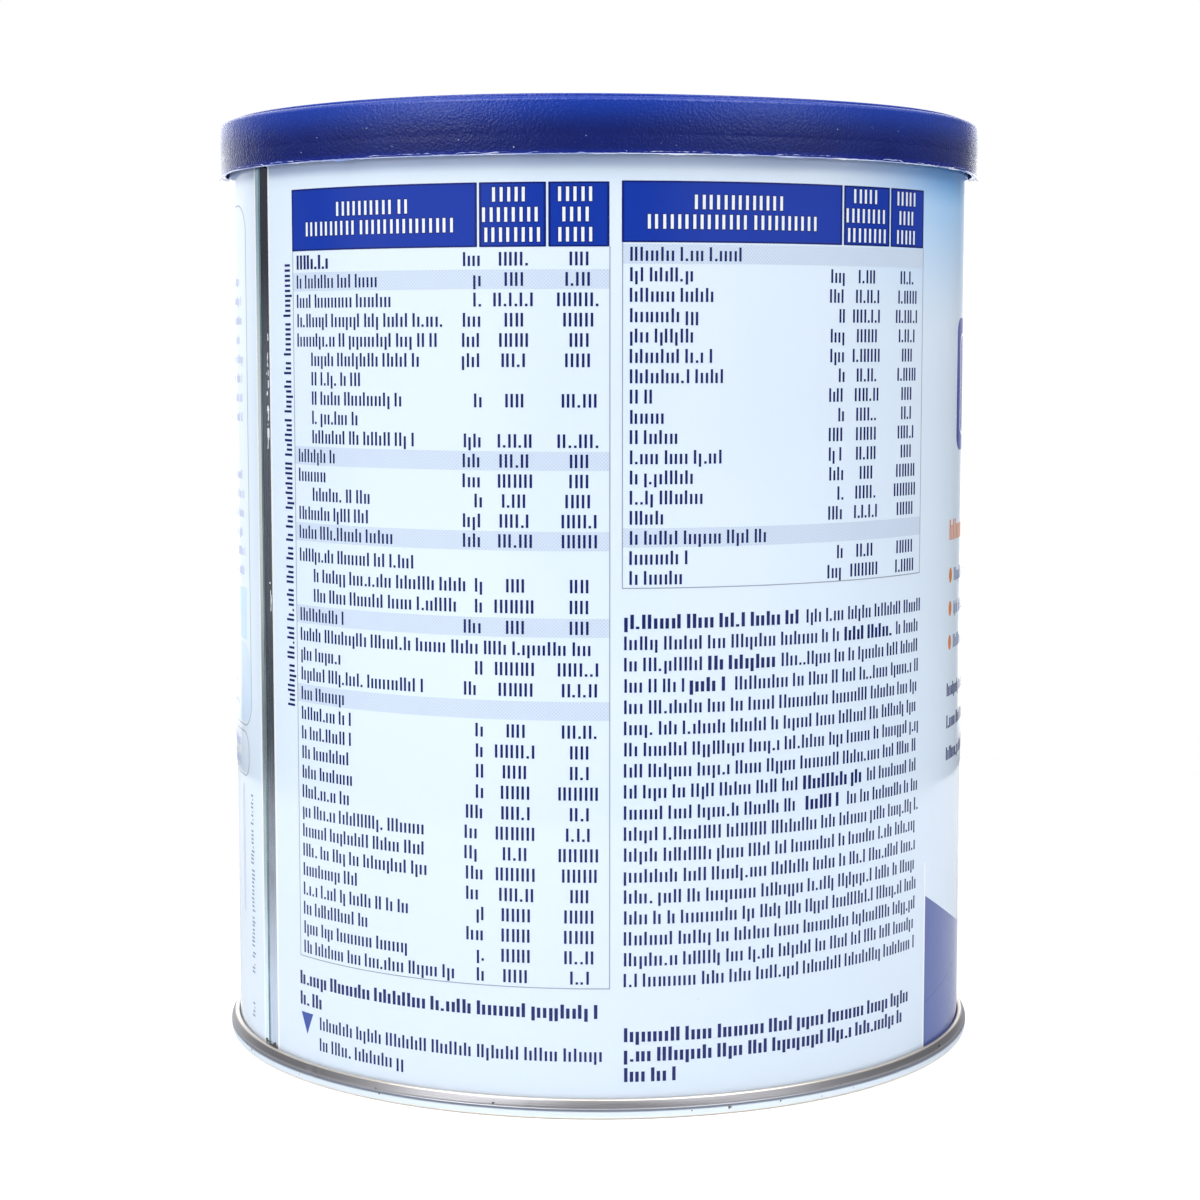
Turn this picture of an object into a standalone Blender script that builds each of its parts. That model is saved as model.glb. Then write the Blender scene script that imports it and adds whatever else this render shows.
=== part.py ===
"""Tin for powder: a round steel body with a welded side seam, a seamed base and a push-on plastic lid.

Metres, +Z up. The origin is the centre of the ring that the tin rests on, and -Y is the label's back panel.
"""
import bpy
import bmesh
from math import cos, sin, pi, radians, sqrt

# Driving dimensions: the tin
BODY_RADIUS = 0.0635
BASE_RIM_RADIUS = 0.06505
BASE_RIM_HEIGHT = 0.0031
LID_RADIUS = 0.06515
LID_SKIRT_BOTTOM = 0.1476
LID_SHOULDER_HEIGHT = 0.1561
OVERALL_HEIGHT = 0.1566

# Gap kept between pieces that touch in the real tin
GAP = 0.0003

# Around the tin: how many flat sides stand for a circle
SIDES = 96
# How many straight steps stand for a quarter circle in a profile
QUARTER_STEPS = 3

# Side seam: the welded overlap stands a little proud of the body
SEAM_AZIMUTH = radians(-90.0 - 59.5)
SEAM_WIDTH = 0.0008
SEAM_RAMP = 0.0002
SEAM_STEP = 0.00015

# Body: what the lid and the base hide is finished plainly
BODY_TOP_CHAMFER = 0.0006
BASE_RECESS_INSET = 0.0004

# Base: a rolled rim round a sunk panel
RIM_CREST_RADIUS = 0.00055
RIM_FOOT_RADIUS = 0.0007
RIM_FLAT = 0.0009
RIM_INNER_RADIUS = 0.0005
PANEL_DEPTH = 0.0035
PANEL_SHEET = 0.0006
PANEL_CORNER = 0.0006
PANEL_BEAD_RADII = (0.0540, 0.0470)
PANEL_BEAD_WIDTH = 0.0030
PANEL_BEAD_DROP = 0.0008

# Lid: a skirt, a round shoulder, a raised stacking bead and a sunk top
LID_WALL = 0.00105
LID_LIP_RADIUS = 0.0002
LID_SHOULDER_RADIUS = 0.0018
STACK_BEAD_OUTER = 0.0631
STACK_BEAD_WIDTH = 0.0030
STACK_BEAD_FILLET = 0.0004
LID_TOP_DEPTH = 0.0024
LID_STEP_RADIUS = 0.0500
LID_STEP_DROP = 0.0006
CATCH_BEAD_HEIGHT = 0.1498
CATCH_BEAD_REACH = 0.0003
CATCH_BEAD_SPAN = 0.0016

# Shading: edges sharper than this stay crisp
CREASE_ANGLE = radians(32.0)


def clear_scene():
    """Remove every object that the file already holds."""
    for item in list(bpy.data.objects):
        bpy.data.objects.remove(item, do_unlink=True)


def make_material(name, colour, roughness, metallic=0.0):
    """Principled BSDF material of one colour, roughness and metallic value."""
    material = bpy.data.materials.new(name)
    material.use_nodes = True
    shader = material.node_tree.nodes["Principled BSDF"]
    shader.inputs["Base Color"].default_value = (*colour, 1.0)
    shader.inputs["Roughness"].default_value = roughness
    shader.inputs["Metallic"].default_value = metallic
    return material


def arc(centre_r, centre_z, radius, start_deg, end_deg, steps=QUARTER_STEPS):
    """Points of an arc in the profile plane, 0 degrees pointing outwards and 90 degrees up."""
    points = []
    for i in range(steps + 1):
        angle = radians(start_deg + (end_deg - start_deg) * i / steps)
        points.append((centre_r + radius * cos(angle), centre_z + radius * sin(angle)))
    return points


def finish_object(bm, name, material):
    """Turn a bmesh into a smooth-shaded object with its own material."""
    bmesh.ops.remove_doubles(bm, verts=bm.verts, dist=0.000001)
    bmesh.ops.recalc_face_normals(bm, faces=bm.faces)
    mesh = bpy.data.meshes.new(name)
    bm.to_mesh(mesh)
    bm.free()
    mesh.shade_smooth()
    mesh.set_sharp_from_angle(angle=CREASE_ANGLE)
    mesh.materials.append(material)
    piece = bpy.data.objects.new(name, mesh)
    bpy.context.scene.collection.objects.link(piece)
    return piece


def turn_profile(profile, name, material):
    """Spin a profile that starts and ends on the axis into one closed turned solid."""
    bm = bmesh.new()
    verts = [bm.verts.new((r, 0.0, z)) for r, z in profile]
    edges = [bm.edges.new(pair) for pair in zip(verts, verts[1:])]
    bmesh.ops.spin(bm, geom=verts + edges, cent=(0, 0, 0), axis=(0, 0, 1), angle=2 * pi,
                   steps=SIDES, use_merge=True)
    return finish_object(bm, name, material)


def body_outline():
    """Azimuths and extra radii of the body's cross-section, with the ridge of the side seam."""
    half = SEAM_WIDTH / 2 / BODY_RADIUS
    ramp = SEAM_RAMP / BODY_RADIUS
    ridge = [(-half - ramp, 0.0), (-half, SEAM_STEP), (half, SEAM_STEP), (half + ramp, 0.0)]
    clear = half + 2 * ramp
    outline = [(SEAM_AZIMUTH + offset, extra) for offset, extra in ridge]
    for i in range(SIDES):
        turn = 2 * pi * i / SIDES
        offset = (turn - SEAM_AZIMUTH + pi) % (2 * pi) - pi
        if abs(offset) > clear:
            outline.append((SEAM_AZIMUTH + offset, 0.0))
    return sorted(outline)


def make_body(material):
    """Shut steel body as one solid: it stands in the base's rim and fills the closed lid."""
    top = OVERALL_HEIGHT - LID_TOP_DEPTH - LID_STEP_DROP - LID_WALL - GAP
    foot = BASE_RIM_HEIGHT + GAP
    ceiling = PANEL_DEPTH + PANEL_SHEET + GAP
    recess_radius = BODY_RADIUS - BASE_RECESS_INSET
    outline = body_outline()
    levels = [(recess_radius, ceiling, 0.0), (recess_radius, foot, 0.0),
              (BODY_RADIUS, foot, 1.0), (BODY_RADIUS, top - BODY_TOP_CHAMFER, 1.0),
              (BODY_RADIUS - BODY_TOP_CHAMFER, top, 0.0)]
    bm = bmesh.new()
    rings = []
    for radius, height, ridge in levels:
        rings.append([bm.verts.new(((radius + ridge * extra) * cos(turn),
                                    (radius + ridge * extra) * sin(turn), height))
                      for turn, extra in outline])
    for lower, upper in zip(rings, rings[1:]):
        for i in range(len(outline)):
            j = (i + 1) % len(outline)
            bm.faces.new((lower[i], lower[j], upper[j], upper[i]))
    bm.faces.new(rings[0])
    bm.faces.new(rings[-1])
    return finish_object(bm, "body", material)


def bead_points(centre, crown_z):
    """Points of a shallow round bead that dips below a level sheet, from outside inwards."""
    half = PANEL_BEAD_WIDTH / 2
    radius = (half * half + PANEL_BEAD_DROP * PANEL_BEAD_DROP) / (2 * PANEL_BEAD_DROP)
    points = []
    steps = 2 * QUARTER_STEPS
    for i in range(steps + 1):
        across = half - PANEL_BEAD_WIDTH * i / steps
        drop = sqrt(radius * radius - across * across) - (radius - PANEL_BEAD_DROP)
        points.append((centre + across, crown_z - max(drop, 0.0)))
    return points


def make_base(material):
    """Steel base: a rolled rim with a flat resting ring, and a panel sunk inside it."""
    crest = BASE_RIM_HEIGHT - RIM_CREST_RADIUS
    outer = BASE_RIM_RADIUS - RIM_CREST_RADIUS
    foot_r = BASE_RIM_RADIUS - RIM_FOOT_RADIUS
    inner_r = foot_r - RIM_FLAT
    raised_r = BODY_RADIUS - BASE_RECESS_INSET - GAP
    panel_r = raised_r - PANEL_SHEET
    panel_top = PANEL_DEPTH + PANEL_SHEET
    profile = [(0.0, panel_top), (raised_r - PANEL_CORNER, panel_top)]
    profile += [(raised_r, panel_top - PANEL_CORNER), (raised_r, BASE_RIM_HEIGHT)]
    profile += arc(outer, crest, RIM_CREST_RADIUS, 90, 0)
    profile += arc(foot_r, RIM_FOOT_RADIUS, RIM_FOOT_RADIUS, 0, -90)
    profile += arc(inner_r, RIM_INNER_RADIUS, RIM_INNER_RADIUS, -90, -180)
    profile += arc(panel_r - PANEL_CORNER, PANEL_DEPTH - PANEL_CORNER, PANEL_CORNER, 0, 90, 2)
    for centre in PANEL_BEAD_RADII:
        profile += bead_points(centre, PANEL_DEPTH)
    profile.append((0.0, PANEL_DEPTH))
    return turn_profile(profile, "base", material)


def make_lid(material):
    """Plastic lid: skirt with a catch bead inside, round shoulder, stacking bead and sunk top."""
    top_z = OVERALL_HEIGHT - LID_TOP_DEPTH
    bead_z = OVERALL_HEIGHT - STACK_BEAD_FILLET
    bead_inner = STACK_BEAD_OUTER - STACK_BEAD_WIDTH
    inner_r = LID_RADIUS - LID_WALL
    under_z = top_z - LID_WALL
    profile = [(0.0, top_z - LID_STEP_DROP), (LID_STEP_RADIUS - LID_STEP_DROP, top_z - LID_STEP_DROP),
               (LID_STEP_RADIUS, top_z)]
    profile += arc(bead_inner - STACK_BEAD_FILLET, top_z + STACK_BEAD_FILLET, STACK_BEAD_FILLET, -90, 0, 2)
    profile += arc(bead_inner + STACK_BEAD_FILLET, bead_z, STACK_BEAD_FILLET, 180, 90)
    profile += arc(STACK_BEAD_OUTER - STACK_BEAD_FILLET, bead_z, STACK_BEAD_FILLET, 90, 0)
    profile += [(STACK_BEAD_OUTER, LID_SHOULDER_HEIGHT)]
    profile += arc(LID_RADIUS - LID_SHOULDER_RADIUS, LID_SHOULDER_HEIGHT - LID_SHOULDER_RADIUS,
                   LID_SHOULDER_RADIUS, 90, 0)
    profile += arc(LID_RADIUS - LID_LIP_RADIUS, LID_SKIRT_BOTTOM + LID_LIP_RADIUS, LID_LIP_RADIUS,
                   0, -90, 2)
    profile += arc(inner_r + LID_LIP_RADIUS, LID_SKIRT_BOTTOM + LID_LIP_RADIUS, LID_LIP_RADIUS,
                   -90, -180, 2)
    for i in range(1, QUARTER_STEPS + 1):
        rise = i / (QUARTER_STEPS + 1)
        reach = CATCH_BEAD_REACH * sin(pi * rise)
        profile.append((inner_r - reach, CATCH_BEAD_HEIGHT + CATCH_BEAD_SPAN * (rise - 0.5)))
    profile += [(inner_r, under_z - LID_WALL), (inner_r - LID_WALL, under_z)]
    profile += [(LID_STEP_RADIUS + LID_WALL / 2, under_z), (LID_STEP_RADIUS, under_z - LID_STEP_DROP)]
    profile.append((0.0, under_z - LID_STEP_DROP))
    return turn_profile(profile, "lid", material)


def main():
    """Build the three pieces of the tin."""
    clear_scene()
    make_body(make_material("printed_steel", (0.77, 0.88, 0.98), 0.28))
    make_base(make_material("bare_steel", (0.62, 0.63, 0.64), 0.25, 1.0))
    make_lid(make_material("blue_plastic", (0.02, 0.045, 0.30), 0.34))


main()
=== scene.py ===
"""Looks of the milk powder tin: printed steel wall, bare side seam, rolled base and pushed-on lid.

Metres, +Z up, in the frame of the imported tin: the origin is the middle of the ring that it rests on,
and -Y is the middle of the label's back panel. The print is laid out in millimetres on the unrolled
wall: s runs round the tin to the right of the back panel's middle, and z is the height above the base.
"""
import logging
from collections.abc import Callable, Sequence
from dataclasses import dataclass, field
from enum import Enum
from math import cos, pi, radians, sin
from typing import Any

import bpy
import numpy as np
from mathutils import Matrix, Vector


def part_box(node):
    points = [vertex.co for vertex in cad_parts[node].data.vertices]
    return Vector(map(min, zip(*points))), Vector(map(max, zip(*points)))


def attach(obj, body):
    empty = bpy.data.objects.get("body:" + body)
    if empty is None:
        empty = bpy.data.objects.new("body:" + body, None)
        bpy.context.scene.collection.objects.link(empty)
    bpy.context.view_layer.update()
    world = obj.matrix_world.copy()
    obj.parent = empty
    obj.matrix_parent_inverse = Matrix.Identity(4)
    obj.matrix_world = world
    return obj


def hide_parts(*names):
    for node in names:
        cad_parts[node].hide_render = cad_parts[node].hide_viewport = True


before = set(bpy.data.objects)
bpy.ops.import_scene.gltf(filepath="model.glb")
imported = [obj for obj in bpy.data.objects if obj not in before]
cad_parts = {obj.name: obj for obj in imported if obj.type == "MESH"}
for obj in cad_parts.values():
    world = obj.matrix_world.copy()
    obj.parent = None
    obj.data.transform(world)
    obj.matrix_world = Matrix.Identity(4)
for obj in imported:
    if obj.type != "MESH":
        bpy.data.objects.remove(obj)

log = logging.getLogger("milk_powder_tin")

Array = np.ndarray
Colour = tuple[float, float, float]
Span = tuple[float, float]

MM = 0.001
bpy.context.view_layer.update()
_, WALL_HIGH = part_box("body")
_, BASE_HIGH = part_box("base")
_, LID_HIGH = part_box("lid")
WALL_TOP = WALL_HIGH.z / MM
RIM_RADIUS = BASE_HIGH.x / MM
LID_RADIUS, LID_TOP = LID_HIGH.x / MM, LID_HIGH.z / MM
WALL_RADIUS = 63.5
SHARP_EDGE = radians(38.0)
WHITE_LIGHT = (1.0, 1.0, 1.0)


# Mesh helpers

def add_piece(name: str, points: Array, faces: Sequence[Array], corners: Sequence[Array],
              slot: str, material: bpy.types.Material) -> bpy.types.Object:
    """Make one piece of the tin from whole arrays, smooth with crisp edges, and let it ride.

    Args:
        name: The piece's name.
        points: Its corners in millimetres, one row each.
        faces: Arrays of corner numbers, one row for each face, in turning order seen from outside.
        corners: The matching pattern coordinates in metres, one pair for each corner of each face.
        slot: The record's material slot that the finish belongs to; not used.
        material: The finish.

    Returns:
        The piece, which rides on the tin's body.
    """
    mesh = bpy.data.meshes.new(name)
    rows = [row for block in faces for row in block.tolist()]
    mesh.from_pydata((points * MM).tolist(), [], rows)
    layer = mesh.uv_layers.new(name="Pattern")
    flat = np.concatenate([block.reshape(-1, 2) for block in corners]).astype(np.float32)
    layer.data.foreach_set("uv", flat.ravel())
    mesh.shade_smooth()
    mesh.set_sharp_from_angle(angle=SHARP_EDGE)
    mesh.materials.append(material)
    mesh.update()
    piece = bpy.data.objects.new(name, mesh)
    bpy.context.scene.collection.objects.link(piece)
    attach(piece, "root")
    log.info("%s: %d faces", name, len(rows))
    return piece


def grid_faces(rows: int, columns: int, wrap_rows: bool, wrap_columns: bool) -> Array:
    """Corner numbers of a grid's quads: (i, j), (i, j+1), (i+1, j+1), (i+1, j) for every i and j.

    Args:
        rows: How many rows of points the grid has.
        columns: How many points each row has.
        wrap_rows: True if the last row joins the first.
        wrap_columns: True if each row's last point joins its first.

    Returns:
        One row of four corner numbers for each quad.
    """
    i, j = np.meshgrid(np.arange(rows - (not wrap_rows)),
                       np.arange(columns - (not wrap_columns)), indexing="ij")
    across, along = (i + 1) % rows, (j + 1) % columns
    quads = np.stack([i * columns + j, i * columns + along, across * columns + along,
                      across * columns + j], axis=-1)
    return quads.reshape(-1, 4)


def fillet_path(stations: Sequence[tuple[float, float, float]], steps: int = 7) -> Array:
    """Polyline through stations (r, z, fillet radius), each inner corner rounded by an arc.

    An arc touches both sides of its corner at fillet / tan(half the inner angle) from it. Its points
    are centre + fillet * (cos a, sin a), with a going evenly from one touching point to the other.

    Args:
        stations: Corners with their fillet radii, in millimetres.
        steps: Straight steps in each arc.

    Returns:
        The path's points, one (r, z) row each.
    """
    corner = np.array([(r, z) for r, z, _ in stations])
    parts = [corner[:1]]
    for before, at, after, (_, _, radius) in zip(corner, corner[1:], corner[2:], stations[1:-1]):
        back, ahead = before - at, after - at
        back, ahead = back / np.linalg.norm(back), ahead / np.linalg.norm(ahead)
        half = np.arccos(np.clip(back @ ahead, -1, 1)) / 2
        if radius <= 0 or half > pi / 2 - 0.01:
            parts.append(at[None])
            continue
        middle = (back + ahead) / np.linalg.norm(back + ahead)
        centre = at + middle * radius / np.sin(half)
        first, last = (at + side * radius / np.tan(half) - centre for side in (back, ahead))
        start = np.arctan2(first[1], first[0])
        turn = (np.arctan2(last[1], last[0]) - start + pi) % (2 * pi) - pi
        angle = start + turn * np.linspace(0, 1, steps + 1)
        parts.append(centre + radius * np.stack([np.cos(angle), np.sin(angle)], axis=1))
    parts.append(corner[-1:])
    return np.concatenate(parts)


def refine(path: Array, longest: float) -> Array:
    """Points added evenly along a path so that no step is longer than the given length, in mm."""
    step = np.linalg.norm(np.diff(path, axis=0), axis=1)
    count = np.maximum(np.ceil(step / longest).astype(int), 1)
    which = np.repeat(np.arange(len(step)), count)
    share = np.concatenate([np.arange(n) / n for n in count])
    inner = path[which] + (path[which + 1] - path[which]) * share[:, None]
    return np.concatenate([inner, path[-1:]])


def turned_grid(radius: Array, height: Array) -> Array:
    """Points of a turned surface: (r cos t, r sin t, z), with t going evenly round from -Y.

    Args:
        radius: Distances from the axis, one row for each turn and one column for each profile point.
        height: Heights of the same points.

    Returns:
        Points, shaped (turns, profile points, 3).
    """
    turn = 2 * pi * np.arange(len(radius))[:, None] / len(radius) - pi / 2
    return np.stack([radius * np.cos(turn), radius * np.sin(turn), height], axis=-1)


def pattern_corners(turns: int, along: Array) -> Array:
    """Pattern coordinates of a turned grid's quads: arc length round the tin and along the profile."""
    across = 2 * pi * WALL_RADIUS / turns * np.arange(turns + 1)
    u, v = np.meshgrid(across, along, indexing="ij")
    quads = grid_faces(turns + 1, len(along), False, False)
    return np.stack([u.ravel()[quads], v.ravel()[quads]], axis=-1) * MM


def fan_corners(turns: int, shifts: tuple[float, float, float], along: Array) -> Array:
    """Pattern coordinates of a pole's triangles, each shifted round the tin by shares of a step."""
    across = 2 * pi * WALL_RADIUS / turns * (np.arange(turns)[:, None] + shifts)
    return np.stack([across, np.broadcast_to(along, across.shape)], axis=-1) * MM


def turned_solid(profile: Array, ripple: Array | float,
                 turns: int) -> tuple[Array, list[Array], list[Array]]:
    """Closed turned solid whose profile starts on the axis above and ends on it below.

    Every inner profile point makes a ring, and each end is a single pole with a fan of triangles.

    Args:
        profile: (r, z) rows in millimetres, from the upper pole round the outside to the lower pole.
        ripple: Shift of r and z at each turn and inner profile point, shaped (turns, points, 2).
        turns: How many points each ring has.

    Returns:
        Points, faces and pattern coordinates for add_piece.
    """
    count = len(profile) - 2
    inner = np.broadcast_to(profile[1:-1], (turns, count, 2)) + ripple
    points = turned_grid(inner[..., 0], inner[..., 1]).reshape(-1, 3)
    poles = np.array([[0, 0, profile[0, 1]], [0, 0, profile[-1, 1]]])
    along = np.concatenate([[0], np.cumsum(np.linalg.norm(np.diff(profile, axis=0), axis=1))])
    at = count * np.arange(turns)
    ahead = np.roll(at, -1)
    pole = np.full(turns, len(points))
    faces = [grid_faces(turns, count, True, False), np.stack([pole, at, ahead], axis=1),
             np.stack([at + count - 1, pole + 1, ahead + count - 1], axis=1)]
    corners = [pattern_corners(turns, along[1:-1]),
               fan_corners(turns, (0.5, 0.0, 1.0), along[[0, 1, 1]]),
               fan_corners(turns, (0.0, 0.5, 1.0), along[[-2, -1, -2]])]
    return np.concatenate([points, poles]), faces, corners


def turned_ring(radius: Array, height: Array) -> tuple[Array, list[Array], list[Array]]:
    """Closed ring: a loop of (r, z) points, given for each turn, carried once round the axis."""
    turns, count = radius.shape
    along = 0.4 * np.arange(count + 1)
    faces = grid_faces(turns, count, True, True)
    return turned_grid(radius, height).reshape(-1, 3), [faces], [pattern_corners(turns, along)]


def bells(turns: int, rows: Sequence[tuple[float, float, float]]) -> Array:
    """Sum of bells round a ring: strength * exp(-(angle from the middle / width)^2).

    Args:
        turns: How many points the ring has.
        rows: Middle in degrees, width in degrees and strength of each bell.

    Returns:
        One value for each point.
    """
    turn = np.degrees(2 * pi * np.arange(turns) / turns)
    middle, width, strength = np.array(rows).T
    away = (turn[:, None] - middle + 180) % 360 - 180
    return (strength * np.exp(-(away / width) ** 2)).sum(axis=1)


def wave_noise(turns: int, lowest: int, highest: int, seed: int) -> Array:
    """Even random wave round a ring, from -1 to 1: a sum of sines with whole wave counts.

    Args:
        turns: How many points the ring has.
        lowest: The fewest waves round the ring.
        highest: The most waves round the ring.
        seed: Seed of the random phases.

    Returns:
        One value for each point.
    """
    rng = np.random.default_rng(seed)
    waves = np.unique(np.geomspace(lowest, highest, 40).astype(int))
    phase = rng.uniform(0, 2 * pi, len(waves))
    strength = rng.normal(size=len(waves))
    turn = 2 * pi * np.arange(turns) / turns
    total = (strength * np.sin(turn[:, None] * waves + phase)).sum(axis=1)
    return total / np.abs(total).max()


# Shader helpers

@dataclass
class Shading:
    """Adds nodes and links to one node tree."""

    tree: bpy.types.NodeTree

    def feed(self, socket: bpy.types.NodeSocket, value: Any) -> None:
        """Link an input to an output socket, or give it a value."""
        if isinstance(value, bpy.types.NodeSocket):
            self.tree.links.new(value, socket)
        else:
            socket.default_value = (*value[:3], 1.0) if socket.type == "RGBA" else value

    def add(self, kind: str, values: dict[Any, Any] | None = None,
            **settings: Any) -> bpy.types.Node:
        """Add a node.

        Args:
            kind: The node's type.
            values: For each input, a value or the output socket that feeds it.
            **settings: Properties of the node.

        Returns:
            The node.
        """
        made = self.tree.nodes.new(kind)
        for key, value in settings.items():
            setattr(made, key, value)
        for key, value in (values or {}).items():
            self.feed(made.inputs[key], value)
        return made

    def math(self, operation: str, *values: Any) -> bpy.types.NodeSocket:
        """Output of a Math node with the given inputs."""
        return self.add("ShaderNodeMath", dict(enumerate(values)), operation=operation).outputs[0]

    def ramp(self, value: Any, low: float, high: float, start: float = 0.0,
             end: float = 1.0) -> bpy.types.NodeSocket:
        """Smooth step of a value: start up to low, end from high on."""
        made = self.add("ShaderNodeMapRange", {"Value": value, "From Min": low, "From Max": high,
                                               "To Min": start, "To Max": end},
                        interpolation_type="SMOOTHSTEP")
        return made.outputs["Result"]

    def mix(self, share: Any, first: Any, second: Any) -> bpy.types.NodeSocket:
        """Mix of two colours."""
        made = self.add("ShaderNodeMix", {0: share, 6: first, 7: second}, data_type="RGBA")
        return made.outputs[2]

    def noise(self, vector: Any, scale: Any, detail: float = 2.0,
              roughness: float = 0.5) -> bpy.types.NodeSocket:
        """Value of a Noise Texture, about 0.5 in the middle."""
        made = self.add("ShaderNodeTexNoise", {"Vector": vector, "Scale": scale, "Detail": detail,
                                               "Roughness": roughness})
        return made.outputs["Fac"]

    def stretched(self, vector: Any, scale: tuple[float, float, float]) -> bpy.types.NodeSocket:
        """Coordinates scaled along each axis."""
        made = self.add("ShaderNodeMapping", {"Vector": vector, "Scale": scale})
        return made.outputs["Vector"]


def new_group(name: str, inputs: str, outputs: str) -> tuple[Shading, Any, Any]:
    """Start a shader node group.

    Args:
        name: The group's name.
        inputs: Names of the inputs, each after its kind: "Float Scale, Vector Place".
        outputs: Names of the outputs, in the same way.

    Returns:
        The group's shading helper, its input node's sockets and its output node's sockets.
    """
    tree = bpy.data.node_groups.new(name, "ShaderNodeTree")
    for way, sockets in (("INPUT", inputs), ("OUTPUT", outputs)):
        for socket in sockets.split(", "):
            kind, label = socket.split(" ", 1)
            tree.interface.new_socket(name=label, in_out=way, socket_type="NodeSocket" + kind)
    source = tree.nodes.new("NodeGroupInput")
    sink = tree.nodes.new("NodeGroupOutput")
    return Shading(tree), source.outputs, sink.inputs


def make_drift_group() -> None:
    """Group that drifts softly between two near colours, as uneven ink, lacquer or plastic does."""
    shade, given, result = new_group("Tone drift", "Vector Vector, Color First, Color Second, Float Scale",
                                     "Color Color, Float Share")
    share = shade.ramp(shade.noise(given["Vector"], given["Scale"], 3.0, 0.55), 0.3, 0.7)
    shade.feed(result["Color"], shade.mix(share, given["First"], given["Second"]))
    shade.feed(result["Share"], share)


def make_skin_group() -> None:
    """Group that gives the height of a fine pebbled skin over a slower swell, from 0 to 1."""
    shade, given, result = new_group(
        "Pebbled skin", "Vector Vector, Float Pebbles, Float Swell, Float Swell Share", "Float Height")
    pebbles = shade.noise(given["Vector"], given["Pebbles"], 2.0, 0.45)
    swell = shade.noise(given["Vector"], given["Swell"], 1.0)
    blend = shade.add("ShaderNodeMix", {0: given["Swell Share"], 2: pebbles, 3: swell})
    shade.feed(result["Height"], blend.outputs[0])


def make_scuff_group() -> None:
    """Group that gives a sparse mask of short rubbed marks, 0 where clean and 1 where rubbed."""
    shade, given, result = new_group(
        "Rub marks", "Vector Vector, Float Size, Float Patches, Float Threshold", "Float Mask")
    marks = shade.noise(given["Vector"], given["Size"], 4.0, 0.65)
    patches = shade.ramp(shade.noise(given["Vector"], given["Patches"], 1.0), 0.5, 0.68)
    fine = shade.ramp(shade.math("SUBTRACT", marks, given["Threshold"]), 0.0, 0.04)
    shade.feed(result["Mask"], shade.math("MULTIPLY", fine, patches))


def make_dot_group() -> None:
    """Group that gives a printer's screen of round dots on the pattern map, 1 inside a dot."""
    shade, given, result = new_group(
        "Printer dots", "Vector Vector, Float Dots per Metre, Float Radius", "Float Mask")
    turned = shade.add("ShaderNodeMapping", {"Vector": given["Vector"],
                                             "Rotation": (0, 0, radians(45))}).outputs[0]
    cells = shade.add("ShaderNodeTexVoronoi",
                      {"Vector": turned, "Scale": given["Dots per Metre"], "Randomness": 0.0},
                      voronoi_dimensions="2D")
    inside = shade.math("SUBTRACT", given["Radius"], cells.outputs["Distance"])
    shade.feed(result["Mask"], shade.ramp(inside, -0.06, 0.06))


class Effect(Enum):
    """Shared shader node groups, each built once."""

    DRIFT = "Tone drift"
    SKIN = "Pebbled skin"
    SCUFF = "Rub marks"
    DOTS = "Printer dots"

    def place(self, shade: Shading, values: dict[str, Any]) -> Any:
        """Put the group in a material with its own input values, and give its outputs."""
        tree = bpy.data.node_groups[self.value]
        return shade.add("ShaderNodeGroup", values, node_tree=tree).outputs


def build_effects() -> None:
    """Build the shared node groups."""
    for make in (make_drift_group, make_skin_group, make_scuff_group, make_dot_group):
        make()


@dataclass
class Draft:
    """A material while it is made: its nodes, its coordinates and its Principled shader."""

    material: bpy.types.Material
    shade: Shading
    place: bpy.types.NodeSocket
    pattern: bpy.types.NodeSocket
    shader: bpy.types.Node

    @classmethod
    def start(cls, name: str) -> "Draft":
        """New material with its coordinates and shader."""
        material = bpy.data.materials.new(name)
        material.use_nodes = True
        shade = Shading(material.node_tree)
        places = shade.add("ShaderNodeTexCoord")
        shader = material.node_tree.nodes["Principled BSDF"]
        return cls(material, shade, places.outputs["Object"], places.outputs["UV"], shader)

    def drift(self, first: Colour, second: Colour, scale: float) -> Any:
        """Outputs of the tone drift between two colours."""
        return Effect.DRIFT.place(self.shade, {"Vector": self.place, "First": first,
                                               "Second": second, "Scale": scale})

    def skin(self, pebbles: float, swell: float, share: float) -> bpy.types.NodeSocket:
        """Height of the pebbled skin."""
        return Effect.SKIN.place(self.shade, {"Vector": self.place, "Pebbles": pebbles,
                                              "Swell": swell, "Swell Share": share})["Height"]

    def rubs(self, size: float, patches: float, threshold: float) -> bpy.types.NodeSocket:
        """Mask of the rub marks."""
        return Effect.SCUFF.place(self.shade, {"Vector": self.place, "Size": size,
                                               "Patches": patches, "Threshold": threshold})["Mask"]

    def height(self) -> bpy.types.NodeSocket:
        """Height above the base, in metres."""
        return self.shade.add("ShaderNodeSeparateXYZ", {0: self.place}).outputs["Z"]

    def bump(self, height: bpy.types.NodeSocket, depth: float) -> bpy.types.NodeSocket:
        """Normal of a Bump node whose full height is the given depth in metres."""
        made = self.shade.add("ShaderNodeBump", {"Height": height, "Distance": depth})
        return made.outputs["Normal"]

    def finish(self, values: dict[str, Any]) -> bpy.types.Material:
        """Feed the shader's inputs, each with an output socket or a value, and give the material."""
        for key, value in values.items():
            self.shade.feed(self.shader.inputs[key], value)
        return self.material


def scaled(colour: Colour, factor: float) -> Colour:
    """Colour with its channels times a factor, 1 at most."""
    red, green, blue = (min(1.0, factor * channel) for channel in colour)
    return red, green, blue


class Finish:
    """Base of the finishes: each is built once, at its first use."""

    name: str

    def material(self) -> bpy.types.Material:
        """The finished material."""
        return bpy.data.materials.get(self.name) or self.build()

    def build(self) -> bpy.types.Material:
        """Build the material."""
        raise NotImplementedError


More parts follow.
